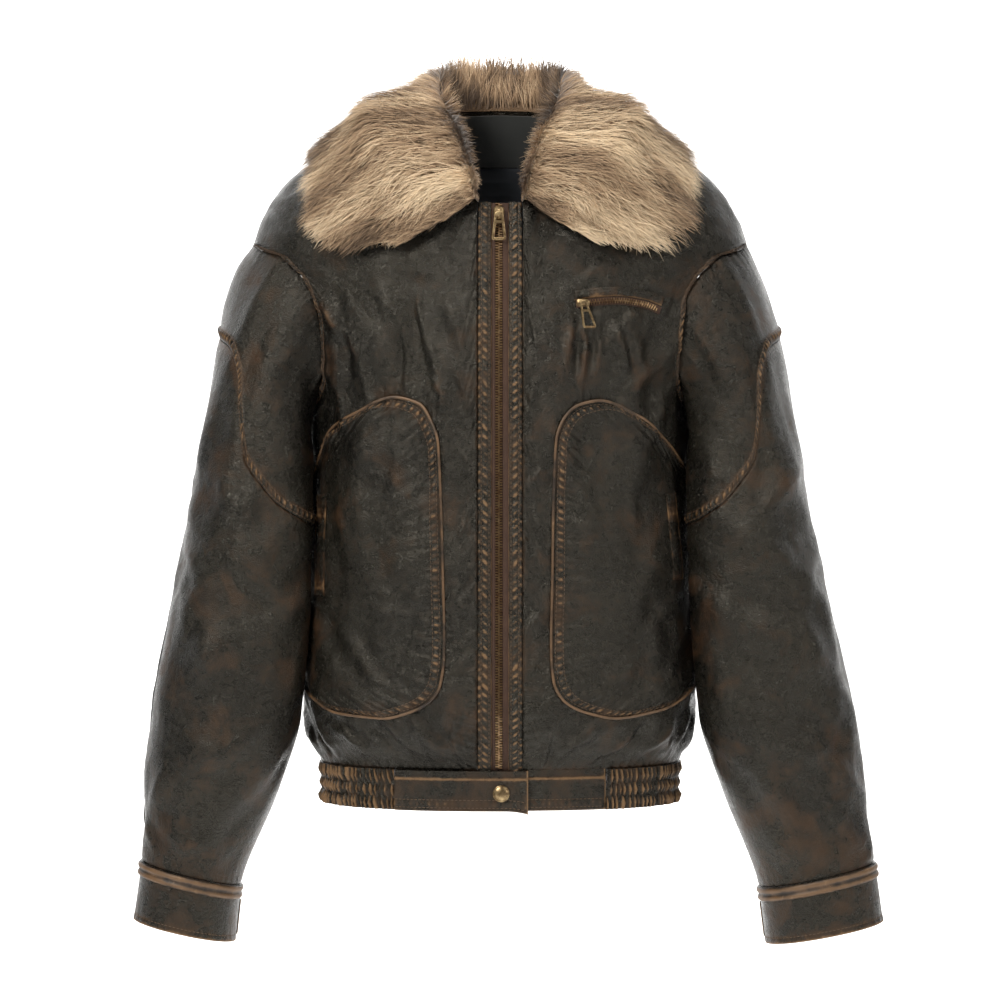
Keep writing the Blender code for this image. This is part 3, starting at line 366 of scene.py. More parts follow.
def patch(u, v, seed):
    """Smooth random values over a plane, one knot a unit."""
    knots = np.random.default_rng(seed).uniform(-1, 1, (128, 128))
    u, v = np.broadcast_arrays(np.asarray(u, float), np.asarray(v, float))
    i = np.floor(u).astype(int)
    j = np.floor(v).astype(int)
    s = u - i
    t = v - j
    s = s * s * (3 - 2 * s)
    t = t * t * (3 - 2 * t)
    low = knots[i % 128, j % 128] * (1 - s) + knots[(i + 1) % 128, j % 128] * s
    high = knots[i % 128, (j + 1) % 128] * (1 - s) + knots[(i + 1) % 128, (j + 1) % 128] * s
    return low * (1 - t) + high * t


def creases(u, v, lines, seed):
    """Height of narrow wandering folds, each a ridge with a trough beside it."""
    wide_u = u + 8 * patch(u / 34, v / 34, seed) + 2.2 * patch(u / 9, v / 9, seed + 1)
    wide_v = v + 8 * patch(u / 34, v / 34, seed + 2) + 2.2 * patch(u / 9, v / 9, seed + 3)
    total = np.zeros(np.broadcast(u, v).shape)
    for u0, v0, u1, v1, width, height in lines:
        du = u1 - u0
        dv = v1 - v0
        reach = math.hypot(du, dv)
        share = ((wide_u - u0) * du + (wide_v - v0) * dv) / reach ** 2
        near = np.clip(share, 0, 1)
        across = ((wide_u - u0) * dv - (wide_v - v0) * du) / reach
        beyond = (share - near) * reach
        fade = np.exp(-(beyond / (1.6 * width)) ** 2) * (0.3 + 0.7 * np.sin(math.pi * near))
        ridge = np.exp(-(across / width) ** 2) - 0.6 * np.exp(-((across - 1.7 * width) / width) ** 2)
        total = total + height * ridge * fade
    return total


def swell(u, v, seed, *distances):
    """Broad soft unevenness of hanging leather, fading out at seams that lie the given distances away."""
    height = 2.6 * patch(u / 30, v / 44, seed) + 1.5 * patch(u / 16, v / 24, seed + 1)
    for distance in distances:
        height = height * (1 - np.exp(-(distance / 16) ** 2))
    return height


def crackle(u, v, seed):
    """Small uneven wrinkles over the whole leather."""
    a = 1 - 2.2 * np.abs(patch(u / 15, v / 19, seed))
    b = 1 - 2.2 * np.abs(patch(u / 7 + 3, v / 8, seed + 1))
    return 0.34 * a + 0.16 * b


def pucker(s, d, seed, height=0.8, reach=8.0, pitch=8.0, start=1.6):
    """Small waves that a row of stitches draws into the leather, s along it and d away from it."""
    turn = s / pitch + 0.4 * wave(s / (2.3 * pitch), seed)
    strength = 0.7 + 0.45 * wave(s / 21, seed + 1)
    lean = 0.12 * d / pitch * wave(s / 60, seed + 2)
    size = height * strength * np.sin(TURN * (turn + lean))
    return size * np.exp(-d / reach) * np.clip(d / start, 0, 1)


def at_places(field, reach, at):
    """Points or directions of a line at given distances along it."""
    return np.stack([np.interp(at, reach, field[:, axis]) for axis in range(3)], 1)


def groove(d, places, depth=0.5, width=0.9):
    """Narrow troughs at given distances from an edge."""
    return -depth * sum(np.exp(-((d - p) / width) ** 2) for p in places)


def ladder(s, d, seed, near, far, pitch=7.0, slant=0.0):
    """Short ribs between two rows of stitches, from nought to about one, s along the rows."""
    turn = (s + slant * (d - near)) / pitch + 0.35 * wave(s / (2.3 * pitch), seed)
    crest = (0.5 + 0.5 * np.cos(TURN * turn)) ** 1.5
    size = 0.82 + 0.28 * wave(s / (1.4 * pitch), seed + 1)
    middle = 0.5 * (near + far)
    return size * crest * np.clip(1 - ((d - middle) / (0.5 * (far - near))) ** 2, 0, 1)


def mask(at, low, high, soft=0.4):
    """One between two values and nought outside them."""
    return np.clip((at - low) / soft, 0, 1) * np.clip((high - at) / soft, 0, 1)


def gaps(points):
    """Distance of every grid point from the first row and from the last."""
    step = np.linalg.norm(np.diff(points, axis=0), axis=-1)
    down = np.concatenate([np.zeros((1, points.shape[1])), np.cumsum(step, axis=0)])
    return down, down[-1] - down


def run(line):
    """Distance along a line of points."""
    return np.concatenate([[0], np.cumsum(np.linalg.norm(np.diff(line, axis=0), axis=-1))])


def spread(line, index):
    """Straight-line values between the rows of a table, at fractional row numbers."""
    i = np.clip(np.floor(index).astype(int), 0, len(line) - 2)
    t = (index - i)[:, None]
    return line[i] * (1 - t) + line[i + 1] * t


def even(points, count):
    """Even steps along a line of breadths and heights."""
    points = np.asarray(points, float)
    reach = run(points)
    return curve(reach, points, np.linspace(0, reach[-1], count))


def calm(x, z, line, half):
    """One near a line of breadths and heights, falling to nought beyond the half width."""
    points = even(line, 60)
    d = np.full(x.shape, 1e9)
    for px, pz in points:
        d = np.minimum(d, np.hypot(x - px, z - pz))
    return np.clip((half + 5 - d) / 5, 0, 1)


def stitch(group, outer, gap, distances, cols=None, ring=False):
    """Note rows of stitches on a grid at distances from its first row: three points and a way out."""
    cols = np.arange(outer.shape[1]) if cols is None else cols
    rows = np.arange(len(outer))
    for distance in distances:
        index = np.array([np.interp(distance, gap[:, c], rows) for c in cols])
        i = np.clip(index.astype(int), 0, len(outer) - 2)
        t = (index - i)[:, None]
        line = outer[i, cols] * (1 - t) + outer[i + 1, cols] * t
        away = unit(np.cross(outer[i + 1, cols] - outer[i, cols], np.gradient(line, axis=0)))
        centre = outer.mean(axis=1)[i] if ring else line * [0, 0, 1]
        away = away * np.sign(np.sum(away * (line - centre), axis=1, keepdims=True))
        reach = run(line)
        middles = np.arange(0.5, int(reach[-1] / STITCH_PITCH)) * STITCH_PITCH
        up = unit(at_places(away, reach, middles))
        ends = [at_places(line, reach, middles + STITCH_HALF * k) for k in (-1, 0, 1)]
        ends[1] = ends[1] + up * STITCH_RISE
        SEWING[group].append((ends, up))


def shell(name, outer, inner, step, ring, wear, sharp=55):
    """Closed cloth wall with a fine outer side and an inner one that is coarser by a whole step."""
    rows, cols = outer.shape[:2]
    irows, icols = inner.shape[:2]
    base = rows * cols
    verts = np.concatenate([outer.reshape(-1, 3), inner.reshape(-1, 3)]) * MM
    faces = []
    for count_r, count_c, start, turn in ((rows, cols, 0, 1), (irows, icols, base, -1)):
        last = count_c if ring else count_c - 1
        r, c = np.meshgrid(np.arange(count_r - 1), np.arange(last), indexing="ij")
        here = r * count_c
        below = here + count_c
        d = (c + 1) % count_c
        quads = np.stack([here + c, here + d, below + d, below + c], -1)
        faces += (quads.reshape(-1, 4)[:, ::turn] + start).tolist()
    for row, irow, turn in ((0, 0, -1), (rows - 1, irows - 1, 1)):
        for k in range(icols if ring else icols - 1):
            edge = [row * cols + (k * step + i) % cols for i in range(step + 1)]
            back = [base + irow * icols + (k + 1) % icols, base + irow * icols + k]
            faces.append((edge + back)[::turn])
    if not ring:
        for col, icol, turn in ((0, 0, 1), (cols - 1, icols - 1, -1)):
            for k in range(irows - 1):
                edge = [(k * step + i) * cols + col for i in range(step + 1)]
                back = [base + (k + 1) * icols + icol, base + k * icols + icol]
                faces.append((edge + back)[::turn])
    item = mesh_object(name, verts, faces, sharp, True)
    values = np.zeros(len(verts))
    values[:base] = np.clip(wear, 0, 1).reshape(-1)
    give(item, "wear", values)
    return item


def wall(name, node, surface, u, v, lift, depth, wear, paint, ring=False):
    """Cloth piece between a relief and a plain depth over a surface. Gives the outer grid of points."""
    outer = surface(u, v, lift)
    inner = surface(u[::STEP, ::STEP], v[::STEP, ::STEP], depth)
    dress(shell(name, outer, inner, STEP, ring, wear), node, paint)
    return outer


def tube_faces(rings, sides, start=0, closed=False):
    """Four-sided faces between neighbouring rings of points, the last and first too when closed."""
    faces = []
    for r in range(rings if closed else rings - 1):
        here = start + r * sides
        beyond = start + (r + 1) % rings * sides
        for c in range(sides):
            d = (c + 1) % sides
            faces.append((here + c, here + d, beyond + d, beyond + c))
    return faces


def end_faces(rings, sides, start=0):
    """Faces that close the first and the last ring."""
    first = tuple(start + c for c in range(sides - 1, -1, -1))
    last = tuple(start + (rings - 1) * sides + c for c in range(sides))
    return [first, last]


def mesh_object(name, verts, faces, sharp=40, mend=False):
    """Mesh object of points in metres."""
    mesh = bpy.data.meshes.new(name)
    mesh.from_pydata(np.asarray(verts).tolist(), [], faces)
    if mend:
        work = bmesh.new()
        work.from_mesh(mesh)
        bmesh.ops.recalc_face_normals(work, faces=work.faces)
        work.to_mesh(mesh)
        work.free()
    mesh.shade_smooth()
    mesh.set_sharp_from_angle(angle=math.radians(sharp))
    item = bpy.data.objects.new(name, mesh)
    bpy.context.scene.collection.objects.link(item)
    return item


def give(item, name, values):
    """One number for every point of a mesh."""
    numbers = item.data.attributes.new(name, "FLOAT", "POINT").data
    numbers.foreach_set("value", np.asarray(values, np.float32))


def dress(item, node, paint, rigid="jacket"):
    """Put a piece in place of its CAD node, in its material and on its body."""
    item.data.materials.append(paint)
    if node:
        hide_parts(node)
    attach(item, rigid)
    return item


def put(paint, kind, settings=None, **inputs):
    """New shader node with its settings and inputs."""
    node = paint.node_tree.nodes.new(kind)
    for key, value in (settings or {}).items():
        setattr(node, key, value)
    for key, value in inputs.items():
        join(paint, value, node.inputs[key.replace("_", " ")])
    return node


def join(paint, value, socket):
    """Link a socket or set a plain value."""
    if isinstance(value, bpy.types.NodeSocket):
        paint.node_tree.links.new(value, socket)
    else:
        socket.default_value = value


def calc(paint, operation, *values):
    """Sum, product or other number worked out in the shader."""
    node = paint.node_tree.nodes.new("ShaderNodeMath")
    node.operation = operation
    for value, socket in zip(values, node.inputs):
        join(paint, value, socket)
    return node.outputs[0]


def mix(paint, share, a, b):
    """Colour between two colours."""
    node = paint.node_tree.nodes.new("ShaderNodeMix")
    node.data_type = "RGBA"
    join(paint, share, node.inputs[0])
    join(paint, a if isinstance(a, bpy.types.NodeSocket) else (*a, 1), node.inputs[6])
    join(paint, b if isinstance(b, bpy.types.NodeSocket) else (*b, 1), node.inputs[7])
    return node.outputs[2]


def ramp(paint, value, low, high, to_low=0.0, to_high=1.0):
    """Value carried from one range to another and held at its ends."""
    node = put(paint, "ShaderNodeMapRange", {"interpolation_type": "SMOOTHSTEP"},
               Value=value, From_Min=low, From_Max=high, To_Min=to_low, To_Max=to_high)
    return node.outputs[0]


def noise(paint, place, scale, detail=4.0, rough=0.55, twist=0.0):
    """Cloudy noise of a given scale."""
    node = put(paint, "ShaderNodeTexNoise", Vector=place, Scale=scale, Detail=detail,
               Roughness=rough, Distortion=twist)
    return node.outputs["Fac"]


def cells(paint, place, scale):
    """Distance from the edges in a pattern of cells."""
    node = put(paint, "ShaderNodeTexVoronoi", {"feature": "DISTANCE_TO_EDGE"}, Vector=place, Scale=scale)
    return node.outputs["Distance"]


def wear_of(paint):
    """Rubbed look noted on the points of a piece, from nought to one."""
    return put(paint, "ShaderNodeAttribute", {"attribute_name": "wear"}).outputs["Fac"]


def bump(paint, height, distance, strength=1.0, below=None):
    """Relief too fine for the mesh, distance in metres."""
    node = put(paint, "ShaderNodeBump", Height=height, Distance=distance, Strength=strength)
    if below is not None:
        join(paint, below, node.inputs["Normal"])
    return node.outputs["Normal"]


def new_paint(name):
    """Empty material with its main shader and object coordinates."""
    paint = bpy.data.materials.new(name)
    paint.use_nodes = True
    place = put(paint, "ShaderNodeTexCoord").outputs["Object"]
    return paint, paint.node_tree.nodes["Principled BSDF"], place


def weighted(paint, *pairs):
    """Sum of values that each have a share."""
    total = None
    for value, share in pairs:
        part = calc(paint, "MULTIPLY", value, share)
        total = part if total is None else calc(paint, "ADD", total, part)
    return total


def leather(name, rub, brown):
    """Worn black-brown leather with grain, wrinkles and rubbed places."""
    paint, shader, place = new_paint(name)
    wear = wear_of(paint)
    cloud = noise(paint, place, 9, 4)
    blotch = noise(paint, place, 26, 8, 0.66, 0.5)
    scuff = noise(paint, place, 110, 9, 0.70, 0.9)
    speck = noise(paint, place, 420, 5, 0.6)
    grain = cells(paint, place, 520)
    wrinkle = noise(paint, place, 120, 8, 0.62, 1.8)
    colour = mix(paint, ramp(paint, cloud, 0.36, 0.64), (0.0034, 0.0032, 0.0026), (0.0098, 0.0090, 0.0068))
    colour = mix(paint, ramp(paint, scuff, 0.50, 0.70, 0, 0.6), colour, (0.024, 0.0190, 0.0130))
    warm = weighted(paint, (wear, 0.45), (blotch, 0.75), (scuff, 0.25))
    warm = ramp(paint, warm, 0.53 - brown, 0.72 - brown, 0, 0.9)
    colour = mix(paint, warm, colour, (0.042, 0.0205, 0.0095))
    bare = calc(paint, "ADD", wear, calc(paint, "MULTIPLY", scuff, 0.85))
    bare = ramp(paint, bare, 0.77 - rub, 1.10 - rub, 0, 1)
    colour = mix(paint, bare, colour, (0.215, 0.125, 0.060))
    crack = ramp(paint, cells(paint, place, 190), 0.0, 0.035, 0.45, 0)
    colour = mix(paint, calc(paint, "MULTIPLY", crack, bare), colour, (0.03, 0.018, 0.010))
    join(paint, colour, shader.inputs["Base Color"])
    rough = ramp(paint, scuff, 0.35, 0.7, 0.20, 0.33)
    rough = calc(paint, "ADD", rough, ramp(paint, blotch, 0.35, 0.7, 0, 0.12))
    rough = calc(paint, "ADD", rough, calc(paint, "MULTIPLY", warm, 0.06))
    rough = calc(paint, "ADD", rough, calc(paint, "MULTIPLY", bare, 0.16))
    join(paint, rough, shader.inputs["Roughness"])
    shader.inputs["Specular IOR Level"].default_value = 0.44
    shader.inputs["Specular Tint"].default_value = (1.0, 0.95, 0.84, 1)
    normal = bump(paint, wrinkle, 0.0022, 0.6)
    normal = bump(paint, ramp(paint, grain, 0.0, 0.16), 0.00024, 0.7, normal)
    normal = bump(paint, speck, 0.0002, 0.5, normal)
    join(paint, normal, shader.inputs["Normal"])
    return paint


def tan_leather():
    """Rubbed tan leather of piping and trim."""
    paint, shader, place = new_paint("Rubbed tan leather")
    wear = wear_of(paint)
    scuff = noise(paint, place, 170, 8, 0.68, 0.6)
    blotch = noise(paint, place, 60, 6, 0.6)
    share = weighted(paint, (wear, 0.45), (blotch, 0.9))
    colour = mix(paint, ramp(paint, share, 0.46, 0.92), (0.016, 0.011, 0.008), (0.155, 0.088, 0.043))
    colour = mix(paint, ramp(paint, scuff, 0.54, 0.78, 0, 0.7), colour, (0.33, 0.21, 0.115))
    join(paint, colour, shader.inputs["Base Color"])
    shader.inputs["Roughness"].default_value = 0.5
    join(paint, bump(paint, scuff, 0.0006, 0.6), shader.inputs["Normal"])
    return paint


def brass(name, dark, light):
    """Dull antique metal."""
    paint, shader, place = new_paint(name)
    dull = noise(paint, place, 260, 7, 0.65)
    colour = mix(paint, ramp(paint, dull, 0.35, 0.7), dark, light)
    join(paint, colour, shader.inputs["Base Color"])
    shader.inputs["Metallic"].default_value = 1.0
    join(paint, ramp(paint, dull, 0.3, 0.75, 0.48, 0.30), shader.inputs["Roughness"])
    join(paint, bump(paint, dull, 0.0002, 0.5), shader.inputs["Normal"])
    return paint


def tape_cloth():
    """Woven red-brown tape of the zips."""
    paint, shader, place = new_paint("Woven zip tape")
    weave = put(paint, "ShaderNodeTexWave", {"bands_direction": "Z"}, Vector=place, Scale=420.0,
                Distortion=0.6).outputs["Fac"]
    cloud = noise(paint, place, 110, 5)
    colour = mix(paint, cloud, (0.040, 0.021, 0.014), (0.088, 0.044, 0.028))
    join(paint, colour, shader.inputs["Base Color"])
    shader.inputs["Roughness"].default_value = 0.85
    join(paint, bump(paint, weave, 0.0004, 0.7), shader.inputs["Normal"])
    return paint


def lining_cloth(name, light):
    """Dark woven lining."""
    paint, shader, place = new_paint(name)
    cloud = noise(paint, place, 40, 5)
    colour = mix(paint, cloud, tuple(0.7 * c for c in light), light)
    join(paint, colour, shader.inputs["Base Color"])
    shader.inputs["Roughness"].default_value = 0.7
    shader.inputs["Sheen Weight"].default_value = 0.3
    join(paint, bump(paint, noise(paint, place, 900, 3), 0.0003, 0.5), shader.inputs["Normal"])
    return paint


def thread():
    """Waxed sewing thread."""
    paint, shader, place = new_paint("Sewing thread")
    cloud = noise(paint, place, 90, 3)
    join(paint, mix(paint, cloud, (0.045, 0.028, 0.017), (0.16, 0.095, 0.05)), shader.inputs["Base Color"])
    shader.inputs["Roughness"].default_value = 0.6
    return paint


def front_rim():
    """Outer edge of a front: armhole, shoulder, neckline, placket and hem."""
    arm = armhole(True, ARM_STEPS)[::-1]
    top = np.linspace([SIDE, SHOULDER_TIP_Z], [SIDE, NECK_Z], SHOULDER_STEPS + 1)
    neck = neckline_half(NECK_STEPS)[::-1]
    z = np.interp(np.arange(PLACKET_STEPS + 1), [0, 7, PLACKET_STEPS], [neck[-1, 1], -492.0, HEM_TOP_Z])
    down = np.stack([front_angle(np.full_like(z, PLACKET_OUT), z), z], 1)
    hem = np.linspace(down[-1], [SIDE, HEM_TOP_Z], HEM_STEPS + 1)
    return np.concatenate([arm, top[1:], neck[1:], down[1:], hem[1:]])


def in_radians(table):
    """Table of degrees and heights with its angles in radians."""
    return np.radians(table * [1, 0]) + table * [0, 1]


def neckline_half(count):
    """Neckline from the placket's top to the shoulder."""
    table = np.array(NECKLINE[:5], float)
    first_z = ZIP_TOP_Z + 3
    start = [math.degrees(front_angle(np.float64(PLACKET_OUT), np.float64(first_z))), first_z]
    return along(in_radians(np.concatenate([[start], table])), count)


def neckline_back(count):
    """Neckline round the back from one shoulder to the other."""
    half = np.array(NECKLINE[4:], float)
    other = half[::-1][1:] * [-1, 1] + [360, 0]
    return along(in_radians(np.concatenate([half, other])), count)


def panel_edge(table, index):
    """Edge of the side panel, numbered as the rim of the front is."""
    line = seam_to_seam(table, front_angle, 200)
    share = np.interp(index, [0, 10, 14, 19, 26, 31, 37], [0, 0.25, 0.28, 0.34, 0.68, 0.80, 1.0])
    return curve(np.linspace(0, 1, 201), line, share)


def bands(*parts):
    """Numbers round the rim of a front in fine steps, each part given by its start and its count."""
    ends = [start for start, count in parts[1:]] + [RIM_STEPS]
    lines = [np.linspace(start, end, count, endpoint=end == RIM_STEPS)
             for (start, count), end in zip(parts, ends)]
    return np.concatenate(lines)


FINE = bands((0, ARM_COLUMNS), (10, 36), (14, 44), (19, 228), (31, 85))

# Creases of the body: place along the waist and height of both ends, half width, height.
# Places run from the front middle, positive towards the wearer's left.
BODY_CREASES = [
    (158, -128, 128, -168, 5, 1.5), (150, -150, 112, -196, 6, 1.8), (176, -150, 150, -215, 6, 1.6),
    (120, -132, 84, -150, 5, 1.0), (66, -176, 60, -214, 4, 1.2), (82, -178, 79, -236, 4.5, 1.6),
    (97, -176, 98, -228, 4, 1.4), (113, -180, 120, -232, 5, 1.5), (129, -184, 139, -226, 4, 1.2),
    (150, -205, 120, -262, 6, 1.7), (168, -232, 140, -280, 6, 1.6), (46, -150, 34, -214, 5, 1.1),
    (44, -226, 30, -268, 5, 1.0), (40, -300, 27, -322, 4, 1.0), (38, -372, 27, -352, 4, 0.9),
    (40, -430, 26, -446, 4, 1.0), (38, -486, 27, -470, 4, 0.9), (60, -300, 84, -352, 7, 1.1),
    (92, -286, 76, -340, 7, 0.9), (120, -300, 134, -372, 8, 1.1), (150, -330, 138, -402, 7, 1.0),
    (60, -420, 92, -470, 7, 1.1), (100, -500, 140, -452, 7, 1.3), (160, -420, 130, -486, 7, 1.2),
    (190, -360, 170, -440, 8, 1.3), (212, -300, 186, -352, 7, 1.6), (220, -420, 190, -480, 7, 1.4),
    (60, -545, 88, -523, 5, 1.6), (96, -552, 124, -526, 5, 1.8), (134, -554, 160, -530, 5, 1.6),
    (176, -552, 196, -520, 6, 1.8), (36, -560, 44, -526, 4, 1.3), (206, -556, 226, -520, 6, 1.6),
    (-150, -128, -120, -170, 5, -1.4), (-170, -152, -132, -214, 6, 1.8), (-124, -150, -92, -204, 6, 1.4),
    (-146, -168, -150, -236, 6, -1.6), (-110, -128, -72, -140, 5, 1.1), (-86, -158, -64, -226, 6, 1.6),
    (-58, -146, -38, -206, 5, 1.2), (-128, -214, -104, -268, 6, -1.6), (-98, -196, -86, -254, 5, 1.4),
    (-172, -226, -144, -276, 6, 1.6), (-46, -218, -30, -262, 5, 1.1), (-66, -232, -52, -262, 4, 1.0),
    (-40, -296, -27, -318, 4, 1.0), (-40, -366, -27, -348, 4, 0.9), (-42, -420, -27, -438, 4, 1.0),
    (-40, -480, -27, -462, 4, 0.9), (-64, -296, -86, -356, 7, -1.1), (-94, -284, -104, -340, 7, 1.0),
    (-130, -300, -120, -380, 8, -1.2), (-158, -330, -142, -410, 7, 1.1), (-70, -430, -98, -476, 7, -1.2),
    (-108, -498, -146, -448, 7, 1.3), (-170, -430, -136, -490, 7, -1.2), (-196, -352, -176, -432, 8, 1.4),
    (-214, -296, -190, -350, 7, -1.6), (-222, -420, -190, -486, 7, 1.4), (-58, -548, -84, -524, 5, 1.6),
    (-92, -554, -122, -528, 5, -1.8), (-130, -552, -158, -528, 5, 1.7), (-172, -554, -194, -522, 6, -1.7),
    (-34, -560, -44, -528, 4, 1.2), (-204, -556, -226, -520, 6, 1.6),
    (270, -170, 300, -240, 7, 1.8), (262, -230, 306, -300, 8, 2.0), (252, -300, 300, -340, 8, 1.8),
    (330, -160, 350, -236, 8, 1.4), (372, -300, 420, -330, 9, 1.2), (340, -360, 390, -420, 9, 1.4),
    (270, -400, 310, -470, 8, 1.7), (300, -520, 340, -480, 7, 1.8), (356, -540, 396, -500, 7, 1.7),
    (420, -548, 450, -500, 7, 1.6), (480, -500, 440, -452, 8, 1.3), (500, -548, 530, -506, 7, 1.8),
    (560, -540, 590, -490, 7, 1.7), (610, -520, 640, -476, 7, 1.7), (660, -420, 620, -480, 8, -1.6),
    (690, -300, 640, -352, 8, 1.8), (676, -230, 628, -300, 8, -2.0), (664, -170, 640, -240, 7, 1.8),
    (590, -160, 610, -236, 8, -1.4), (560, -300, 520, -340, 9, -1.2), (600, -350, 556, -420, 9, 1.4),
    (470, -170, 474, -260, 10, 1.2), (455, -380, 500, -410, 9, 1.1), (440, -240, 480, -290, 9, 1.0),
]


def body_detail(phi, z, seed=11):
    """Creases and fine wrinkles of the body leather and its bulge under the arm, in millimetres."""
    u = np.where(phi < -SIDE, phi + TURN, phi) * AROUND
    fade = np.clip((z - HEM_TOP_Z) / 8, 0, 1)
    arm_rest = 3.4 * np.exp(-((z + 269) / 20) ** 4) * np.exp(-((np.abs(phi) - SIDE) / 0.4) ** 2)
    return (2.1 * creases(u, z, BODY_CREASES, seed) + 1.3 * crackle(u, z, seed + 7)) * fade + arm_rest


def even_rows(count, ease=0.45):
    """Shares from nought to one that are closer together at both ends."""
    x = np.linspace(0, 1, count)
    return (1 - ease) * x + ease * (0.5 - 0.5 * np.cos(math.pi * x))


def ridge_wear(lift, low=0.8, high=3.2):
    """Rubbed look of what stands proud."""
    return 0.55 * np.clip((lift - low) / (high - low), 0, 1)


def front_flat(side_table):
    """Fine grid of angles and heights of a front, from its side panel out to its rim."""
    rim = inset(front_rim(), SEAM, 1)
    rim[0, 0] = rim[-1, 0] = SIDE - SIDE_GAP
    rim[ARM_STEPS:ARM_STEPS + SHOULDER_STEPS + 1, 0] = SIDE - SHOULDER_GAP
    edge = inset(panel_edge(side_table, FINE), SEAM, -1)
    edge[0, 0] = edge[-1, 0] = SIDE - SIDE_GAP
    edge[0, 1] += 2 * SEAM
    edge[-1, 1] -= 2 * SEAM
    bend = np.interp(np.arange(len(rim)), [19, 31, 33, 37], [8, 8, 22, 22])
    pull = inset(front_rim(), bend[:, None], 1)
    pull[1:len(FRONT_BENDS) + 1] = np.array(FRONT_BENDS) / FLAT
    pull = spread(pull, FINE)
    rim = spread(rim, FINE)
    pull[0] = 0.5 * (rim[0] + edge[0])
    pull[-1] = 0.5 * (rim[-1] + edge[-1])
    t = even_rows(61)[:, None, None]
    return edge[None] * (1 - t) ** 2 + 2 * t * (1 - t) * pull[None] + rim[None] * t * t


def chest_relief(x, z):
    """Dip and puckers round the chest pocket of the wearer's left front."""
    line = curve([p[0] for p in CHEST_WELT], [p[1] for p in CHEST_WELT], x) - 6
    d = np.abs(z - line)
    inside = mask(x, 58, 148, 8)
    waves = pucker(x, np.maximum(d - 6, 0), 71, 0.9, 10, 9, 1.0)
    return inside * (1.0 * np.exp(-(d / 9) ** 2) + waves)


def make_front(side, side_table, paint):
    """One front with its seams, puckers and creases."""
    flat = front_flat(side_table)
    phi = flat[..., 0] * side
    z = flat[..., 1]
    base = body_base(phi, z)
    from_edge, from_rim = gaps(base)
    s_edge = run(base[0])
    s_rim = run(base[-1])
    at = FINE[None]
    arm = mask(at, 0.1, 9.95)
    placket = mask(at, 19.1, 30.9)
    hem = mask(at, 30.9, 37, 0.15)
    seed = 20 if side > 0 else 50
    ribs = arm * ladder(s_rim, from_rim, seed + 11, *ARM_RIBS)
    seam = (SIDE - np.abs(phi)) * AROUND
    lift = body_detail(phi, z) + swell(phi * AROUND, z, 33, from_edge, from_rim, seam)
    lift = lift + groove(from_edge, [0], 1.3, 1.0) + pucker(s_edge, from_edge, seed, 0.6, 7)
    lift = lift + placket * (pucker(s_rim, from_rim, seed + 3, 0.9, 11, 7.6)
                             + groove(from_rim, [0], 0.9, 1.0))
    lift = lift + placket * pucker(s_rim, from_rim, seed + 4, 0.9, 24, 21, 6.0)
    lift = lift + arm * (1.0 * np.clip((9.5 - from_rim) / 1.5, 0, 1)
                         + groove(from_rim, [0, 1.6, 8.6], 0.6) + 1.8 * ribs)
    lift = lift + arm * pucker(s_rim, np.maximum(from_rim - 9, 0), seed + 6, 0.8, 11, 8, 0.8)
    lift = lift + hem * (pucker(s_rim, from_rim, seed + 9, 1.3, 13, 8.5, 0.5)
                         + groove(from_rim, [0], 1.0, 1.2))
    if side > 0:
        lift = lift + chest_relief(base[..., 0], z)
        lift = lift * (1 - calm(base[..., 0], z, CHEST_ZIP, 5)) * (1 - calm(base[..., 0], z, CHEST_WELT, 6))
    wear = (ridge_wear(lift, 2.4, 8.0) + 0.42 * np.exp(-from_edge / 1.2)
            + 0.25 * placket * np.exp(-from_rim / 2.0))
    wear = wear + arm * (0.35 * np.exp(-((from_rim - 9.0) / 1.4) ** 2) + 0.65 * ribs)
    wear = wear + hem * 0.3 * np.exp(-from_rim / 3)
    node = "front_" + WORDS[side]
    outer = wall(node + "_leather", node, body, phi, z, lift, INSIDE, wear, paint)
    stitch("front", outer[::-1], from_rim[::-1], (1.7, 8.5), np.arange(ARM_COLUMNS))


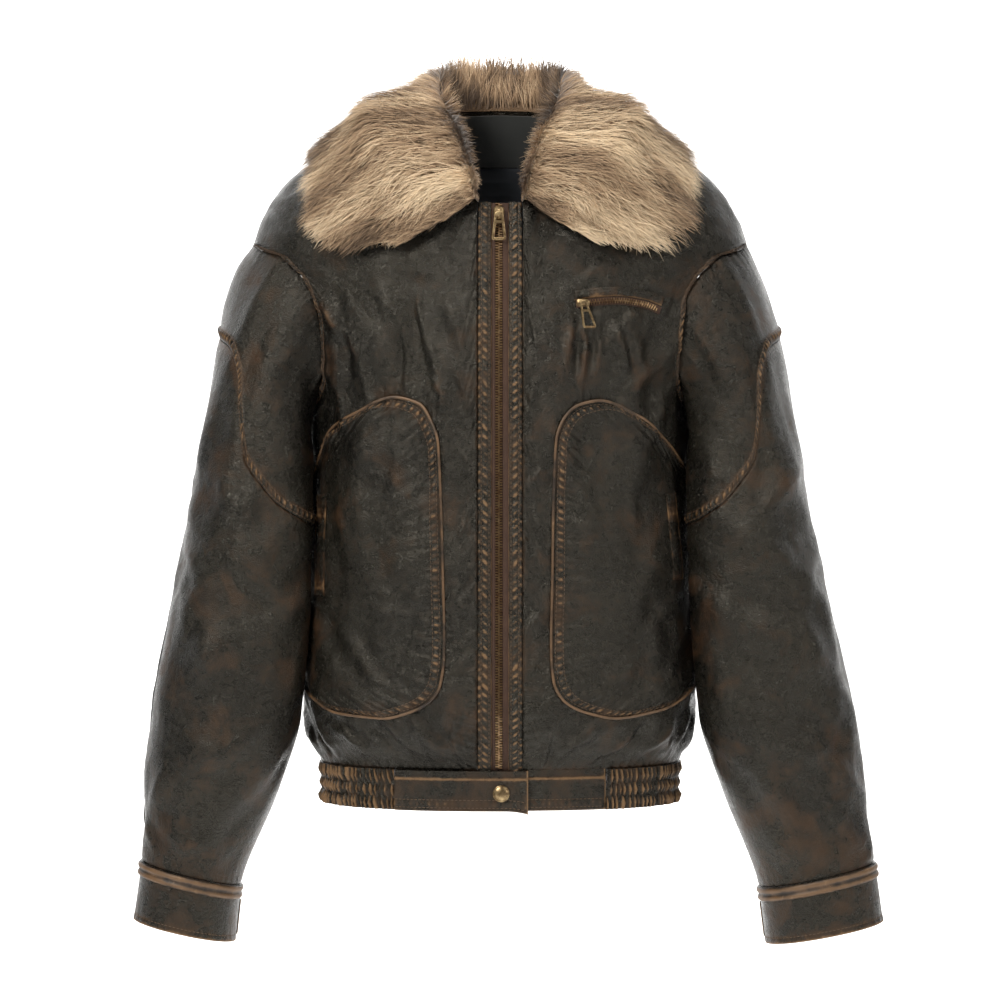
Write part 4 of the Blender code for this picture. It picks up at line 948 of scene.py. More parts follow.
def make_side_panel(side, side_table, paint):
    """Side panel with two rows of stitching inside its edge."""
    index = bands((0, 124), (10, 68), (19, 136), (26, 133))
    edge = inset(panel_edge(side_table, index), SEAM, 1)
    edge[0, 0] = edge[-1, 0] = SIDE - SIDE_GAP
    edge[0, 1] -= 2 * SEAM
    edge[-1, 1] += 2 * SEAM
    turn = np.interp(index, [0, 37], [1, -1])
    z = edge[0, 1] + (edge[-1, 1] - edge[0, 1]) * 0.5 * (1 - np.sign(turn) * np.abs(turn) ** 1.9)
    seam = np.stack([np.full_like(z, SIDE - SIDE_GAP), z], 1)
    t = (np.linspace(0, 1, 41) ** 1.35)[:, None, None]
    flat = edge[None] * (1 - t) + seam[None] * t
    phi = flat[..., 0] * side
    z = flat[..., 1]
    base = body_base(phi, z)
    from_edge = gaps(base)[0]
    seed = 80 if side > 0 else 95
    s = run(base[0])
    ends = np.clip(np.minimum(s, s[-1] - s) / 12, 0, 1)
    ribs = ends * ladder(s, from_edge, seed + 4, 3.6, 10.4, 6.9)
    lift = body_detail(phi, z) + swell(phi * AROUND, z, 37, from_edge, (SIDE - np.abs(phi)) * AROUND)
    lift = lift + groove(from_edge, [0], 1.0, 1.0) + groove(from_edge, [3.8, 10.4], 0.9, 0.9) + 1.9 * ribs
    drag = np.maximum(from_edge - 10, 0)
    lift = lift + ends * (pucker(s, drag, seed, 0.9, 12, 7.6, 2.0)
                          + pucker(s, drag, seed + 8, 1.1, 26, 19, 7.0))
    lift = lift * (1 - calm(base[..., 0], z, POCKETS[side], 5))
    wear = ridge_wear(lift, 2.4, 8.0) + 0.36 * np.exp(-from_edge / 1.6) + 0.85 * ribs
    node = "side_panel_" + WORDS[side]
    outer = wall(node + "_leather", node, body, phi, z, lift, INSIDE, wear, paint)
    stitch("front", outer, from_edge, (3.8, 10.4))


def coons(top, bottom, left, right):
    """Grid inside four flat edges."""
    s = np.linspace(0, 1, len(top))[None, :, None]
    t = np.linspace(0, 1, len(left))[:, None, None]
    across = left[:, None] * (1 - s) + right[:, None] * s
    down = top[None] * (1 - t) + bottom[None] * t
    corner = (top[0] * (1 - s) * (1 - t) + top[-1] * s * (1 - t)
              + bottom[0] * (1 - s) * t + bottom[-1] * s * t)
    return across + down - corner


def make_back(paint):
    """Back in one piece."""
    arm = armhole(False, ARM_STEPS)
    ridge_z = np.linspace(NECK_Z, SHOULDER_TIP_Z, SHOULDER_STEPS + 1)
    ridge = np.stack([np.full_like(ridge_z, SIDE), ridge_z], 1)
    side_z = np.linspace(ARMPIT_Z, HEM_TOP_Z, 8)[1:]
    seam = np.stack([np.full_like(side_z, SIDE), side_z], 1)
    left = inset(np.concatenate([ridge[:-1], arm, seam]), SEAM, 1)
    left[:SHOULDER_STEPS + 1, 0] = SIDE + SHOULDER_GAP
    left[SHOULDER_STEPS + ARM_STEPS:, 0] = SIDE + SIDE_GAP
    neck = neckline_back(12)
    neck[0, 0] = left[0, 0]
    neck[-1, 0] = TURN - left[0, 0]
    rows = np.linspace(0, len(left) - 1, 193)
    cols = np.linspace(0, 12, 157)
    left = spread(left, rows)
    right = left * [-1, 1] + [TURN, 0]
    bottom = np.linspace(left[-1], right[-1], len(cols))
    flat = coons(spread(neck, cols), bottom, left, right)
    phi = flat[..., 0]
    z = flat[..., 1]
    base = body_base(phi, z)
    high, low = gaps(base)
    a, b = gaps(base.transpose(1, 0, 2))
    side = np.minimum(a, b).T
    s = run(base[:, 0])[:, None]
    row = rows[:, None]
    arm_part = mask(row, 4.05, 13.9)
    lift = body_detail(phi, z) + swell(phi * AROUND, z, 41, side, high, low) + groove(side, [0], 1.0, 1.1)
    ribs = arm_part * ladder(s, side, 33, *ARM_RIBS)
    lift = lift + arm_part * (1.0 * np.clip((9.5 - side) / 1.5, 0, 1) + groove(side, [1.6, 8.6], 0.5)) + ribs
    lift = lift + arm_part * pucker(s, np.maximum(side - 9, 0), 31, 0.8, 9, 9, 0.8)
    lift = lift + mask(row, 14, 21, 0.5) * pucker(s, side, 36, 0.7, 8, 9)
    lift = lift + pucker(run(base[-1])[None], low, 39, 1.2, 12, 8.5, 0.5) + groove(low, [0], 1.0, 1.2)
    wear = ridge_wear(lift, 3.0, 9.0) + 0.3 * np.exp(-side / 2) + 0.3 * np.exp(-low / 3) + 0.65 * ribs
    outer = wall("back_leather", "back", body, phi, z, lift, INSIDE, wear, paint)
    arm_rows = np.nonzero((rows > 4.1) & (rows < 13.9))[0]
    for grid, gap in ((outer, a), (outer[:, ::-1], b[::-1])):
        stitch("back", grid.transpose(1, 0, 2), gap, (1.7, 8.5), arm_rows)


def armhole_point(psi, side):
    """Point, outward direction and direction into the hole round the armhole."""
    psi = np.mod(psi, TURN)
    share = np.where(psi <= math.pi, psi, TURN - psi) / math.pi
    front = armhole(True, ARM_STEPS)
    back = armhole(False, ARM_STEPS)
    steps = share * ARM_STEPS
    i = np.clip(steps.astype(int), 0, ARM_STEPS - 1)
    t = (steps - i)[..., None]
    flat_f = front[i] * (1 - t) + front[i + 1] * t
    flat_b = back[i] * (1 - t) + back[i + 1] * t
    flat = np.where((psi <= math.pi)[..., None], flat_f, flat_b)
    flip = np.array([side, 1.0, 1.0])
    point = body(flat[..., 0] * side, flat[..., 1]) * flip
    normal = body_normal(flat[..., 0] * side, flat[..., 1]) * flip
    middle = body(np.float64(SIDE), np.float64(-172.0))
    inward = middle - point
    inward = inward - normal * np.sum(inward * normal, -1, keepdims=True)
    return point, normal, unit(inward)


def ring_point(table, psi, q):
    """Point of the plain sleeve below the upper arm, ring numbers from one."""
    row = curve(np.arange(1, len(table) + 1), table, np.clip(q, 1, len(table)))
    ox, oz, ix, iz, depth, cy = np.moveaxis(row, -1, 0)
    c = np.cos(psi)
    s = np.sin(psi)
    cc = np.sign(c) * np.abs(c) ** SLEEVE_SQUARE
    ss = np.sign(s) * np.abs(s) ** SLEEVE_SQUARE
    x = (ox + ix) / 2 + (ox - ix) / 2 * cc
    z = (oz + iz) / 2 + (oz - iz) / 2 * cc
    return np.stack([x, cy - depth * ss, z], -1)


def sleeve_base(table, psi, q, side):
    """Sleeve surface before it is mirrored to its side, without folds."""
    psi, q = np.broadcast_arrays(np.asarray(psi, float), np.asarray(q, float))
    low = ring_point(table, psi, q)
    p0, normal, inward = armhole_point(psi, side)
    p1 = ring_point(table, psi, np.ones_like(q))
    t1 = unit(ring_point(table, psi, np.full_like(q, 1.1)) - p1)
    size = np.linalg.norm(p1 - p0, axis=-1, keepdims=True)
    turned = np.mod(psi, TURN)
    under = np.exp(-((turned - math.radians(135)) / 0.48) ** 2)[..., None]
    axis = np.array([0.30, 0.0, -0.95]) * (1 - under) + np.array([-0.40, -0.30, -0.85]) * under
    t0 = unit(inward * 0.45 + normal * 0.5 * (1 - under) + axis * 0.5)
    t = np.clip(q, 0, 1)[..., None]
    top = ((1 + 2 * t) * (1 - t) ** 2 * (p0 + inward * 2 * SEAM) + t * (1 - t) ** 2 * size * t0
           + t * t * (3 - 2 * t) * p1 + t * t * (t - 1) * size * t1)
    return clear_of_body(np.where(q[..., None] < 1, top, low))


def clear_of_body(point):
    """Sleeve points pushed just clear of the body below the armpit."""
    x, y, z = np.moveaxis(point, -1, 0)
    phi = np.arctan2(x, -y)
    r = np.hypot(x, y)
    base = body_base(phi, np.clip(z, HEM_EDGE_Z, 25))
    limit = np.hypot(base[..., 0], base[..., 1])
    need = limit + np.clip((ARMPIT_Z - z) / 12, 0, 1) * 5.0
    soft = 3.0
    new = 0.5 * (r + need + np.sqrt((r - need) ** 2 + soft ** 2))
    share = np.clip((ARMPIT_Z - z) / 4, 0, 1) * np.clip((z + 640) / 30, 0, 1)
    new = r + (new - r) * share
    return np.stack([new * np.sin(phi), -new * np.cos(phi), z], -1)


def sleeve_normal(table, psi, q, side):
    """Outward direction of the sleeve surface."""
    e = 0.03
    around = sleeve_base(table, psi + e, q, side) - sleeve_base(table, psi - e, q, side)
    qa = np.clip(q - e, 0, len(table))
    qb = np.clip(q + e, 0, len(table))
    down = sleeve_base(table, psi, qb, side) - sleeve_base(table, psi, qa, side)
    return unit(np.cross(around, down))


def sleeve_folds(psi, q, side):
    """Relief of a sleeve in millimetres, fading out at its seams."""
    turn = 0.0 if side > 0 else 14.0
    lines = [(math.radians(p0 + turn) * ROUND_ARM, q0 * RING,
              math.radians(p1 + turn) * ROUND_ARM, q1 * RING, w, h) for p0, q0, p1, q1, w, h in SLEEVE_FOLDS]
    total = folds(np.mod(psi, TURN) * ROUND_ARM, q * RING, lines)
    inner = np.exp(-((np.mod(psi, TURN) - math.pi) / 0.75) ** 2)
    hug = np.clip((4.6 - q) / 0.6, 0, 1) * inner
    return total * np.clip(q / 0.5, 0, 1) * np.clip((5.95 - q) / 0.3, 0, 1) * (1 - hug)


def sleeve(table, side, psi, q, out=0.0):
    """Point of a sleeve on its own side."""
    lift = sleeve_folds(psi, q, side) + out
    normal = sleeve_normal(table, psi, q, side)
    point = sleeve_base(table, psi, q, side) + normal * np.asarray(lift)[..., None]
    return point * np.array([side, 1.0, 1.0])


def cap_seam(psi):
    """Ring number of the seam under the sleeve cap."""
    full = np.degrees(np.mod(psi, TURN))
    full = np.where(full > 180, 360 - full, full)
    return look_up(CAP_SEAM, full)[..., 0]


def half_turned(psi):
    """Angle round a sleeve, nought outside and positive to the front."""
    return np.mod(psi + math.pi, TURN) - math.pi


def sleeve_rows(psi, top, bottom, count):
    """Flat grid of a tube between two edges."""
    t = np.linspace(0, 1, count)[:, None]
    q = top[None] * (1 - t) + bottom[None] * t
    return np.broadcast_to(psi, q.shape), q


# Soft creases of a sleeve: place round it, nought outside and positive to the front, and place
# down it of both ends, half width, height
SLEEVE_CREASES = [
    (30, 52, 60, 96, 8, 1.0), (62, 70, 84, 132, 9, 1.1), (104, 96, 92, 150, 8, 1.0),
    (20, 150, 58, 196, 10, 1.0),
    (84, 178, 118, 226, 10, -1.1), (56, 232, 96, 262, 10, 1.1), (120, 250, 88, 300, 9, 1.0),
    (40, 300, 76, 344, 9, -0.9), (100, 330, 64, 372, 9, 1.0), (44, 386, 90, 402, 6, 0.9),
    (110, 392, 76, 410, 6, 0.9), (24, 396, 50, 412, 6, 0.8), (-40, 80, -84, 140, 10, 1.4),
    (-100, 150, -60, 214, 10, 1.4), (-112, 236, -70, 262, 9, 1.6), (-60, 280, -104, 300, 9, 1.5),
    (-44, 330, -92, 352, 9, 1.2), (-110, 380, -64, 400, 7, 1.1), (-30, 392, -70, 410, 6, 0.9),
]


def sleeve_detail(psi, q, seed):
    """Creases and fine wrinkles of a sleeve in millimetres."""
    turned = half_turned(psi)
    u = turned * ROUND_ARM
    v = q * RING
    inner = 1 - np.exp(-((np.abs(turned) - math.pi) / 0.35) ** 2)
    return (1.7 * creases(u, v, SLEEVE_CREASES, seed) + 0.6 * crackle(u, v, seed + 5)) * inner


def round_swell(psi, q, seed, *distances):
    """Broad unevenness of a sleeve, none where it lies against the body."""
    turned = half_turned(psi)
    inner = 1 - np.exp(-((np.abs(turned) - math.pi) / 0.8) ** 2)
    return inner * swell(turned * ROUND_ARM, q * RING, seed, *distances)


def make_cap(side, table, paint):
    """Upper part of a sleeve with its double-stitched lower edge."""
    arm = partial(sleeve, table, side)
    psi = np.arange(300) * TURN / 300
    p, q = sleeve_rows(psi, np.zeros_like(psi), cap_seam(psi) - CAP_GAP, 49)
    from_top, from_low = gaps(sleeve_base(table, p, q, side))
    s = run(sleeve_base(table, psi, cap_seam(psi), side))
    seed = 120 if side > 0 else 140
    ribs = ladder(s, from_low, seed + 11, 1.6, 8.8, 6.4)
    lift = sleeve_detail(p, q, seed) * np.clip(from_top / 12, 0, 1)
    lift = lift + round_swell(p, q, seed + 7, from_top, from_low)
    lift = lift + pucker(s, from_top, seed + 3, 0.7, 9, 9) + groove(from_top, [0], 0.9, 1.0)
    lift = (lift + 0.9 * np.clip((9.8 - from_low) / 1.5, 0, 1)
            + groove(from_low, [0, 1.7, 8.6], 0.8) + 2.2 * ribs)
    wear = ridge_wear(lift, 2.6, 7.5) + 0.30 * np.exp(-((from_low - 9.4) / 1.2) ** 2) + 0.85 * ribs
    node = "sleeve_cap_" + WORDS[side]
    outer = wall(node + "_leather", node, arm, p, q, lift, INSIDE, wear, paint, ring=True)
    stitch("sleeves", outer[::-1], from_low[::-1], (1.8, 8.5), ring=True)


def make_sleeve(side, table, paint):
    """Sleeve from the cap's seam down to the cuff."""
    arm = partial(sleeve, table, side)
    psi = np.arange(176) * TURN / 176
    p, q = sleeve_rows(psi, cap_seam(psi) + CAP_GAP, np.full_like(psi, 5.996), 109)
    from_top, from_low = gaps(sleeve_base(table, p, q, side))
    seed = 160 if side > 0 else 180
    s = run(sleeve_base(table, psi, cap_seam(psi), side))
    lift = sleeve_detail(p, q, seed) * np.clip(from_top / 10, 0, 1) * np.clip(from_low / 6, 0, 1)
    lift = lift + round_swell(p, q, seed + 7, from_top, from_low)
    lift = lift + pucker(s, from_top, seed + 3, 0.45, 9, 8) + groove(from_top, [0], 0.9, 1.0)
    lift = lift + pucker(s, from_low, seed + 6, 0.35, 9, 10) + groove(from_low, [0], 0.9, 1.0)
    wear = (ridge_wear(lift, 2.6, 7.5) + 0.35 * np.exp(-from_top / 1.4)
            + 0.16 * np.clip((q - 4.2) / 1.8, 0, 1))
    node = "sleeve_" + WORDS[side]
    wall(node + "_leather", node, arm, p, q, lift, INSIDE, wear, paint, ring=True)


def make_cuff(side, table, paint):
    """Cuff of one sleeve. Gives the distance along its lower edge."""
    psi = np.arange(CUFF_COLUMNS) * TURN / CUFF_COLUMNS
    p, q = sleeve_rows(psi, np.full_like(psi, 6.006), np.full_like(psi, 7.0), 33)
    base = sleeve_base(table, p, q, side)
    from_low = gaps(base)[1]
    s = run(base[-1])
    lift = 0.6 + 0.5 * np.clip((5 - from_low) / 1.2, 0, 1) + groove(from_low, [5.2], 0.5, 0.8)
    lift = lift + pucker(s, from_low, 203, 0.35, 10, 9)
    wear = 0.08 + 0.6 * np.exp(-from_low / 1.6) + 0.15 * np.exp(-((from_low - 6) / 2) ** 2)
    node = "cuff_" + WORDS[side]
    arm = partial(sleeve, table, side)
    outer = wall(node + "_leather", node, arm, p, q, lift, -2.4, wear, paint, ring=True)
    stitch("sleeves", outer[::-1], from_low[::-1], [5.2], ring=True)
    return s


def make_cuff_trim(side, table, s, paint):
    """Double tan trim at the top of a cuff, s along the cuff's edge."""
    psi = np.arange(CUFF_COLUMNS) * TURN / CUFF_COLUMNS
    p, q = sleeve_rows(psi, np.full_like(psi, 6.02), np.full_like(psi, 6.22), 13)
    across = np.linspace(0, 1, 13)[:, None]
    roll = sum(np.sin(math.pi * np.clip((across - start) / 0.42, 0, 1)) for start in (0, 0.58))
    twist = 0.28 * np.sin(s[None] / 3.1 * TURN + across * 5) * np.exp(-((across - 0.5) / 0.14) ** 2)
    lift = 1.2 + 1.5 * np.sqrt(np.clip(roll, 0, 1)) + twist + 0.25 * wave(s / 7, 207)[None]
    wear = np.broadcast_to(0.35 + 0.65 * np.clip(roll, 0, 1), p.shape)
    node = "cuff_trim_" + WORDS[side]
    arm = partial(sleeve, table, side)
    wall(node + "_leather", node, arm, p, q, lift, 0.95, wear, paint, True)


def make_cuff_tab(side, table, paint):
    """Tab behind a cuff."""
    angle = np.radians(np.linspace(192, 220, 25))
    p, q = sleeve_rows(angle, np.full_like(angle, 6.27), np.full_like(angle, 6.93), 25)
    edge = np.minimum(np.minimum(*gaps(sleeve_base(table, p, q, side))),
                      np.minimum(*gaps(sleeve_base(table, p.T, q.T, side))).T)
    lift = 2.0 + 0.7 * np.clip(edge / 1.2, 0, 1) ** 0.5 + groove(edge, [3.0], 0.3)
    node = "cuff_tab_" + WORDS[side]
    arm = partial(sleeve, table, side)
    wall(node + "_leather", node, arm, p, q, lift, 1.4, 0.2 + 0.6 * np.exp(-edge / 1.2), paint)


def hem_flat(x, z):
    """Angles and heights on the front for breadths that may be on either side."""
    x = np.asarray(x, float)
    return np.stack([np.sign(x) * front_angle(np.abs(x), z), z + 0 * x], -1)


def make_hem(paint):
    """Gathered elastic hem from one front band round the back to the other."""
    start = hem_flat(np.array([92.0]), HEM_MIDDLE_Z)[0, 0]
    end = TURN + hem_flat(np.array([-90.0]), HEM_MIDDLE_Z)[0, 0]
    phi = np.linspace(start, end, GATHERS * HEM_STEP + 1)
    turn = (phi - start) / (end - start) * GATHERS * 1.4
    z = np.linspace(-566.7, HEM_EDGE_Z, 33)
    tier = np.interp(z, [-602.0, -596.5, -590.8, -585.0, -579.5, -573.5, -567.5],
                     [0.75, 1.0, 0.3, 1.0, 0.3, 1.0, 0.6])
    rows = []
    wear = []
    for k, height in enumerate(z):
        level = 0 if height > -579.5 else 1 if height > -590.8 else 2
        lean = (0.35 * wave(turn / 3, 310 + level) + 0.1) * (height - HEM_MIDDLE_Z) / 12
        phase = turn + 0.37 * level + 0.35 * wave(turn * 0.9, 300 + level) + lean
        crest = (0.5 + 0.5 * np.cos(TURN * phase)) ** 1.7
        size = 0.85 + 0.35 * wave(turn * 0.8, 305 + level)
        lift = 0.3 + 4.2 * tier[k] * size * crest + 0.4 * tier[k]
        rows.append(body(phi, np.full_like(phi, height), lift))
        wear.append(tier[k] * size * crest ** 1.5 + 0.12 * wave(turn * 2, 306))
    coarse = phi[::HEM_STEP]
    inner = np.array([body(coarse, np.full_like(coarse, height), -1.8) for height in z[::HEM_STEP]])
    item = shell("hem_elastic_leather", np.array(rows), inner, HEM_STEP, False, np.array(wear), 60)
    dress(item, "hem_elastic", paint)


def cord(name, path, radius, up, sides, squash):
    """Round strand along a path, with a radius and an up direction at each point."""
    angle = np.arange(sides) * TURN / sides
    way = unit(np.gradient(path, axis=0))
    side = unit(np.cross(way, up))
    lift = unit(np.cross(side, way))
    ring = path[:, None] + (side[:, None] * np.cos(angle)[None, :, None]
                            + lift[:, None] * np.sin(angle)[None, :, None] * squash) * radius[:, None, None]
    faces = tube_faces(len(path), sides) + end_faces(len(path), sides)
    return mesh_object(name, ring.reshape(-1, 3) * MM, faces, 60)


def make_piping(side, side_table, paint):
    """Tan cord round a side panel."""
    edge = panel_edge(side_table, np.linspace(0, RIM_STEPS, 420))
    edge[0, 0] = edge[-1, 0] = SIDE - 2.5 / 165
    edge[0, 1] += 1
    edge[-1, 1] -= 1
    phi = edge[:, 0] * side
    path = body(phi, edge[:, 1], 1.0)
    s = run(path)
    radius = 1.2 + 0.12 * wave(s / 6, 400)
    node = "panel_piping_" + WORDS[side]
    item = cord(node + "_cord", path, radius, body_normal(phi, edge[:, 1]), 8, 0.8)
    give(item, "wear", np.repeat(0.6 + 0.4 * wave(s / 18, 402 + side), 8))
    dress(item, node, paint)


def make_placket(side, paint):
    """Strip beside the main zip with two stitch rows and puckers."""
    z = front_rim()[ZIP_START:ZIP_START + PLACKET_STEPS + 1, 1].copy()
    z[0] -= SEAM
    z[-1] += SEAM
    z = np.interp(np.linspace(0, PLACKET_STEPS, 401), np.arange(PLACKET_STEPS + 1), z)
    wide = PLACKET_OUT - 2 * SEAM - PLACKET_IN
    x = PLACKET_IN + wide * even_rows(17, 0.2)
    zz, xx = np.meshgrid(z, x, indexing="ij")
    phi = front_angle(xx, zz) * side
    s = run(body(phi, zz)[:, 0])[:, None]
    across = xx - PLACKET_IN
    to_edge = np.minimum(across, wide - across)
    seed = 420 if side > 0 else 430
    roll = 1.3 * (1 - np.clip(to_edge / 2.2, 0, 1)) ** 2
    ribs = ladder(s, across, seed + 3, 2.2, wide - 2.6, 7.4, 0.7)
    puffs = ladder(s, across, seed + 5, wide - 3.4, wide + 1.0, 7.4)
    lift = 0.9 - roll + groove(across, [2.2, wide - 2.9], 0.55, 0.8) + 1.5 * ribs + 1.0 * puffs
    wear = 0.5 * np.exp(-across / 0.9) + 0.1 * np.exp(-(wide - across) / 1.2) + 0.72 * ribs + 0.55 * puffs
    node = "placket_" + WORDS[side]
    outer = wall(node + "_leather", node, body, phi, zz, lift, -1.8, wear, paint)
    stitch("front", outer.transpose(1, 0, 2), across.T, (2.2, wide - 2.9))


def make_band(name, x0, x1, out, thick, slant, paint):
    """Flat leather piece of the hem in the front, with a worn upper edge and a double stitch row."""
    top = HEM_TOP_Z + 0.35
    z = top + (HEM_EDGE_Z - top) * even_rows(41, 0.3)
    x = np.linspace(x0, x1, STEP * int((x1 - x0) / 5) + 1)
    zz, xx = np.meshgrid(z, x, indexing="ij")
    zz = zz - np.clip((top - zz) / (top - HEM_EDGE_Z), 0, 1) * slant * np.clip((xx - 4) / 20, 0, 1) ** 2
    phi, height = np.moveaxis(hem_flat(xx, zz), -1, 0)
    base = body(phi, height)
    from_top, from_low = gaps(base)
    s = run(base[0])[None]
    edge = np.minimum(np.minimum(from_top - 6.5, from_low), x1 - xx)
    edge = np.where(from_top < 6.5, 9.0, edge)
    step = np.clip((from_top - 6.0) / 0.9, 0, 1)
    ribs = ladder(s, from_low, 451, 3.2, 10.2, 6.6)
    lift = out - 1.6 + 1.6 * step - 0.7 * (1 - np.clip(edge / 1.6, 0, 1)) ** 2
    lift = lift + groove(from_low, [3.2, 10.0], 0.4, 0.8) + 0.55 * ribs
    lift = lift + pucker(s, np.maximum(from_top - 6.5, 0), 455, 0.4, 5, 9) + 0.35 * crackle(xx, zz, 459)
    turned_in = max(out - thick + 1.6, 0) * np.exp(-(from_top[::STEP, ::STEP] / 3) ** 2)
    wear = 0.06 + 0.78 * np.exp(-np.abs(from_top - 7.3) / 0.9) + 0.3 * ribs
    wear = wear + 0.4 * np.exp(-from_low / 1.4) + 0.6 * np.exp(-np.abs(x1 - xx) / 1.2)
    outer = wall(name + "_leather", name, body, phi, height, lift, out - thick - turned_in, wear, paint)
    stitch("hem", outer[::-1], from_low[::-1], (3.2, 10.0))


def collar_line(t):
    """Neckline and outer edge of the collar for shares from the front end to the back middle."""
    neck = np.concatenate([neckline_half(NECK_STEPS), neckline_back(12)[1:7]])
    share = np.concatenate([np.linspace(0, 0.625, 6), np.linspace(0.625, 1, 7)[1:]])
    return curve(share, neck, t), look_up(FALL_EDGE, t) * [math.pi / 180, 1]


def collar_pelt(count, less):
    """Grid of the skin that the fur stands on: stations round the collar, points from the
    inner foot over the crest to the outer edge. The height of the pile is taken off."""
    t = np.linspace(0, 1, count)
    neck, edge = collar_line(t)
    crest = look_up(CREST, t)
    heights = np.maximum(look_up(FUR_HEIGHT, t) - less, 1.5)
    axis = np.stack([0 * t, np.full_like(t, -20.0), crest[:, 2]], 1)
    inward = unit(axis - crest)
    beyond = inset(neck, 0.8, 1)
    beyond[-1, 0] = math.pi
    foot = body(beyond[:, 0], beyond[:, 1], -1.5)
    rise = np.linalg.norm(crest - foot, axis=1, keepdims=True)
    plump = np.minimum(rise / 45, 1)
    up = np.array([0.0, 0.0, 1.0])
    low = crest - up * (np.minimum(less, 0.35 * rise) * plump)
    points = [foot, foot * 0.65 + low * 0.35 + inward * 2 * plump]
    points += [foot * 0.3 + low * 0.7 + inward * 3 * plump]
    points += [low + inward * 3 * plump, low - inward * 3 * plump]
    for k, share in enumerate((0.3, 0.55, 0.8)):
        flat = neck * (1 - share) + edge * share
        points.append(body(flat[:, 0], flat[:, 1], UNDER + heights[:, k]))
    points.append(body(edge[:, 0], edge[:, 1], UNDER + 1.5))
    half = np.stack(points, 1)
    return np.concatenate([half, half[::-1][1:] * [-1, 1, 1]])


def sample(field, x, y):
    """Values of a grid at shares of its two ways, straight between its points."""
    fx = x * (field.shape[0] - 1)
    fy = y * (field.shape[1] - 1)
    i = np.clip(fx.astype(int), 0, field.shape[0] - 2)
    j = np.clip(fy.astype(int), 0, field.shape[1] - 2)
    s = (fx - i)[:, None]
    t = (fy - j)[:, None]
    low = field[i, j] * (1 - s) + field[i + 1, j] * s
    high = field[i, j + 1] * (1 - s) + field[i + 1, j + 1] * s
    return low * (1 - t) + high * t


def hair_length(a, b):
    """Length of the hair in millimetres round the collar and across it."""
    ends = np.clip(np.minimum(a, 1 - a) / 0.05, 0.45, 1)
    nape = 0.86 + 0.5 * np.exp(-((a - 0.5) / 0.2) ** 2)
    return ends * nape * np.interp(b, [0, 0.3, 0.5, 0.8, 1.0], [15, 17, 22, 27, 30])


def hair_colours(tone, share):
    """Colour of every hair at shares of its length, dark at the root and pale at the tip."""
    along_tone = np.clip(tone[:, None] * 0.75 + share[None] * 0.62 - 0.22, 0, 1)[..., None]
    lower = HAIR_DARK + (HAIR_MID - HAIR_DARK) * along_tone * 2
    upper = HAIR_MID + (HAIR_LIGHT - HAIR_MID) * (along_tone - 0.5) * 2
    colour = np.repeat(np.where(along_tone < 0.5, lower, upper), 2, axis=1).reshape(-1, 3)
    return np.concatenate([colour, np.ones((len(colour), 1))], 1)


def smooth_grid(grid, rows, cols):
    """Grid of points made finer along both ways."""
    long, wide = grid.shape[:2]
    a = curve(np.arange(long), grid.reshape(long, -1), np.linspace(0, long - 1, rows)).reshape(rows, wide, 3)
    a = a.transpose(1, 0, 2).reshape(wide, -1)
    b = curve(np.arange(wide), a, np.linspace(0, wide - 1, cols)).reshape(cols, rows, 3)
    return b.transpose(1, 0, 2)


def grid_mesh(name, grid, sharp=80):
    """Open sheet through a grid of points."""
    rows, cols = grid.shape[:2]
    r, c = np.meshgrid(np.arange(rows - 1), np.arange(cols - 1), indexing="ij")
    a = r * cols + c
    faces = np.stack([a, a + 1, a + cols + 1, a + cols], -1).reshape(-1, 4).tolist()
    return mesh_object(name, grid.reshape(-1, 3) * MM, faces, sharp)


def fur_tone(a, b, seed):
    """Patchy lightness of the fur round the collar and across it, with painted shade darkening the stand
    towards the back middle.
    """
    big = patch(a * 20, b * 3.2, seed)
    small = patch(a * 70, b * 6, seed + 1)
    # Painted shade: the hairs on the stand, the inner side that faces the neck hollow, are darkened most at
    # the back middle and less towards the front ends.
    stand = 0.42 * np.clip((0.50 - b) / 0.16, 0, 1) * np.clip(np.minimum(a, 1 - a) / 0.12, 0, 1)
    return 0.50 + 0.62 * big + 0.30 * small - stand


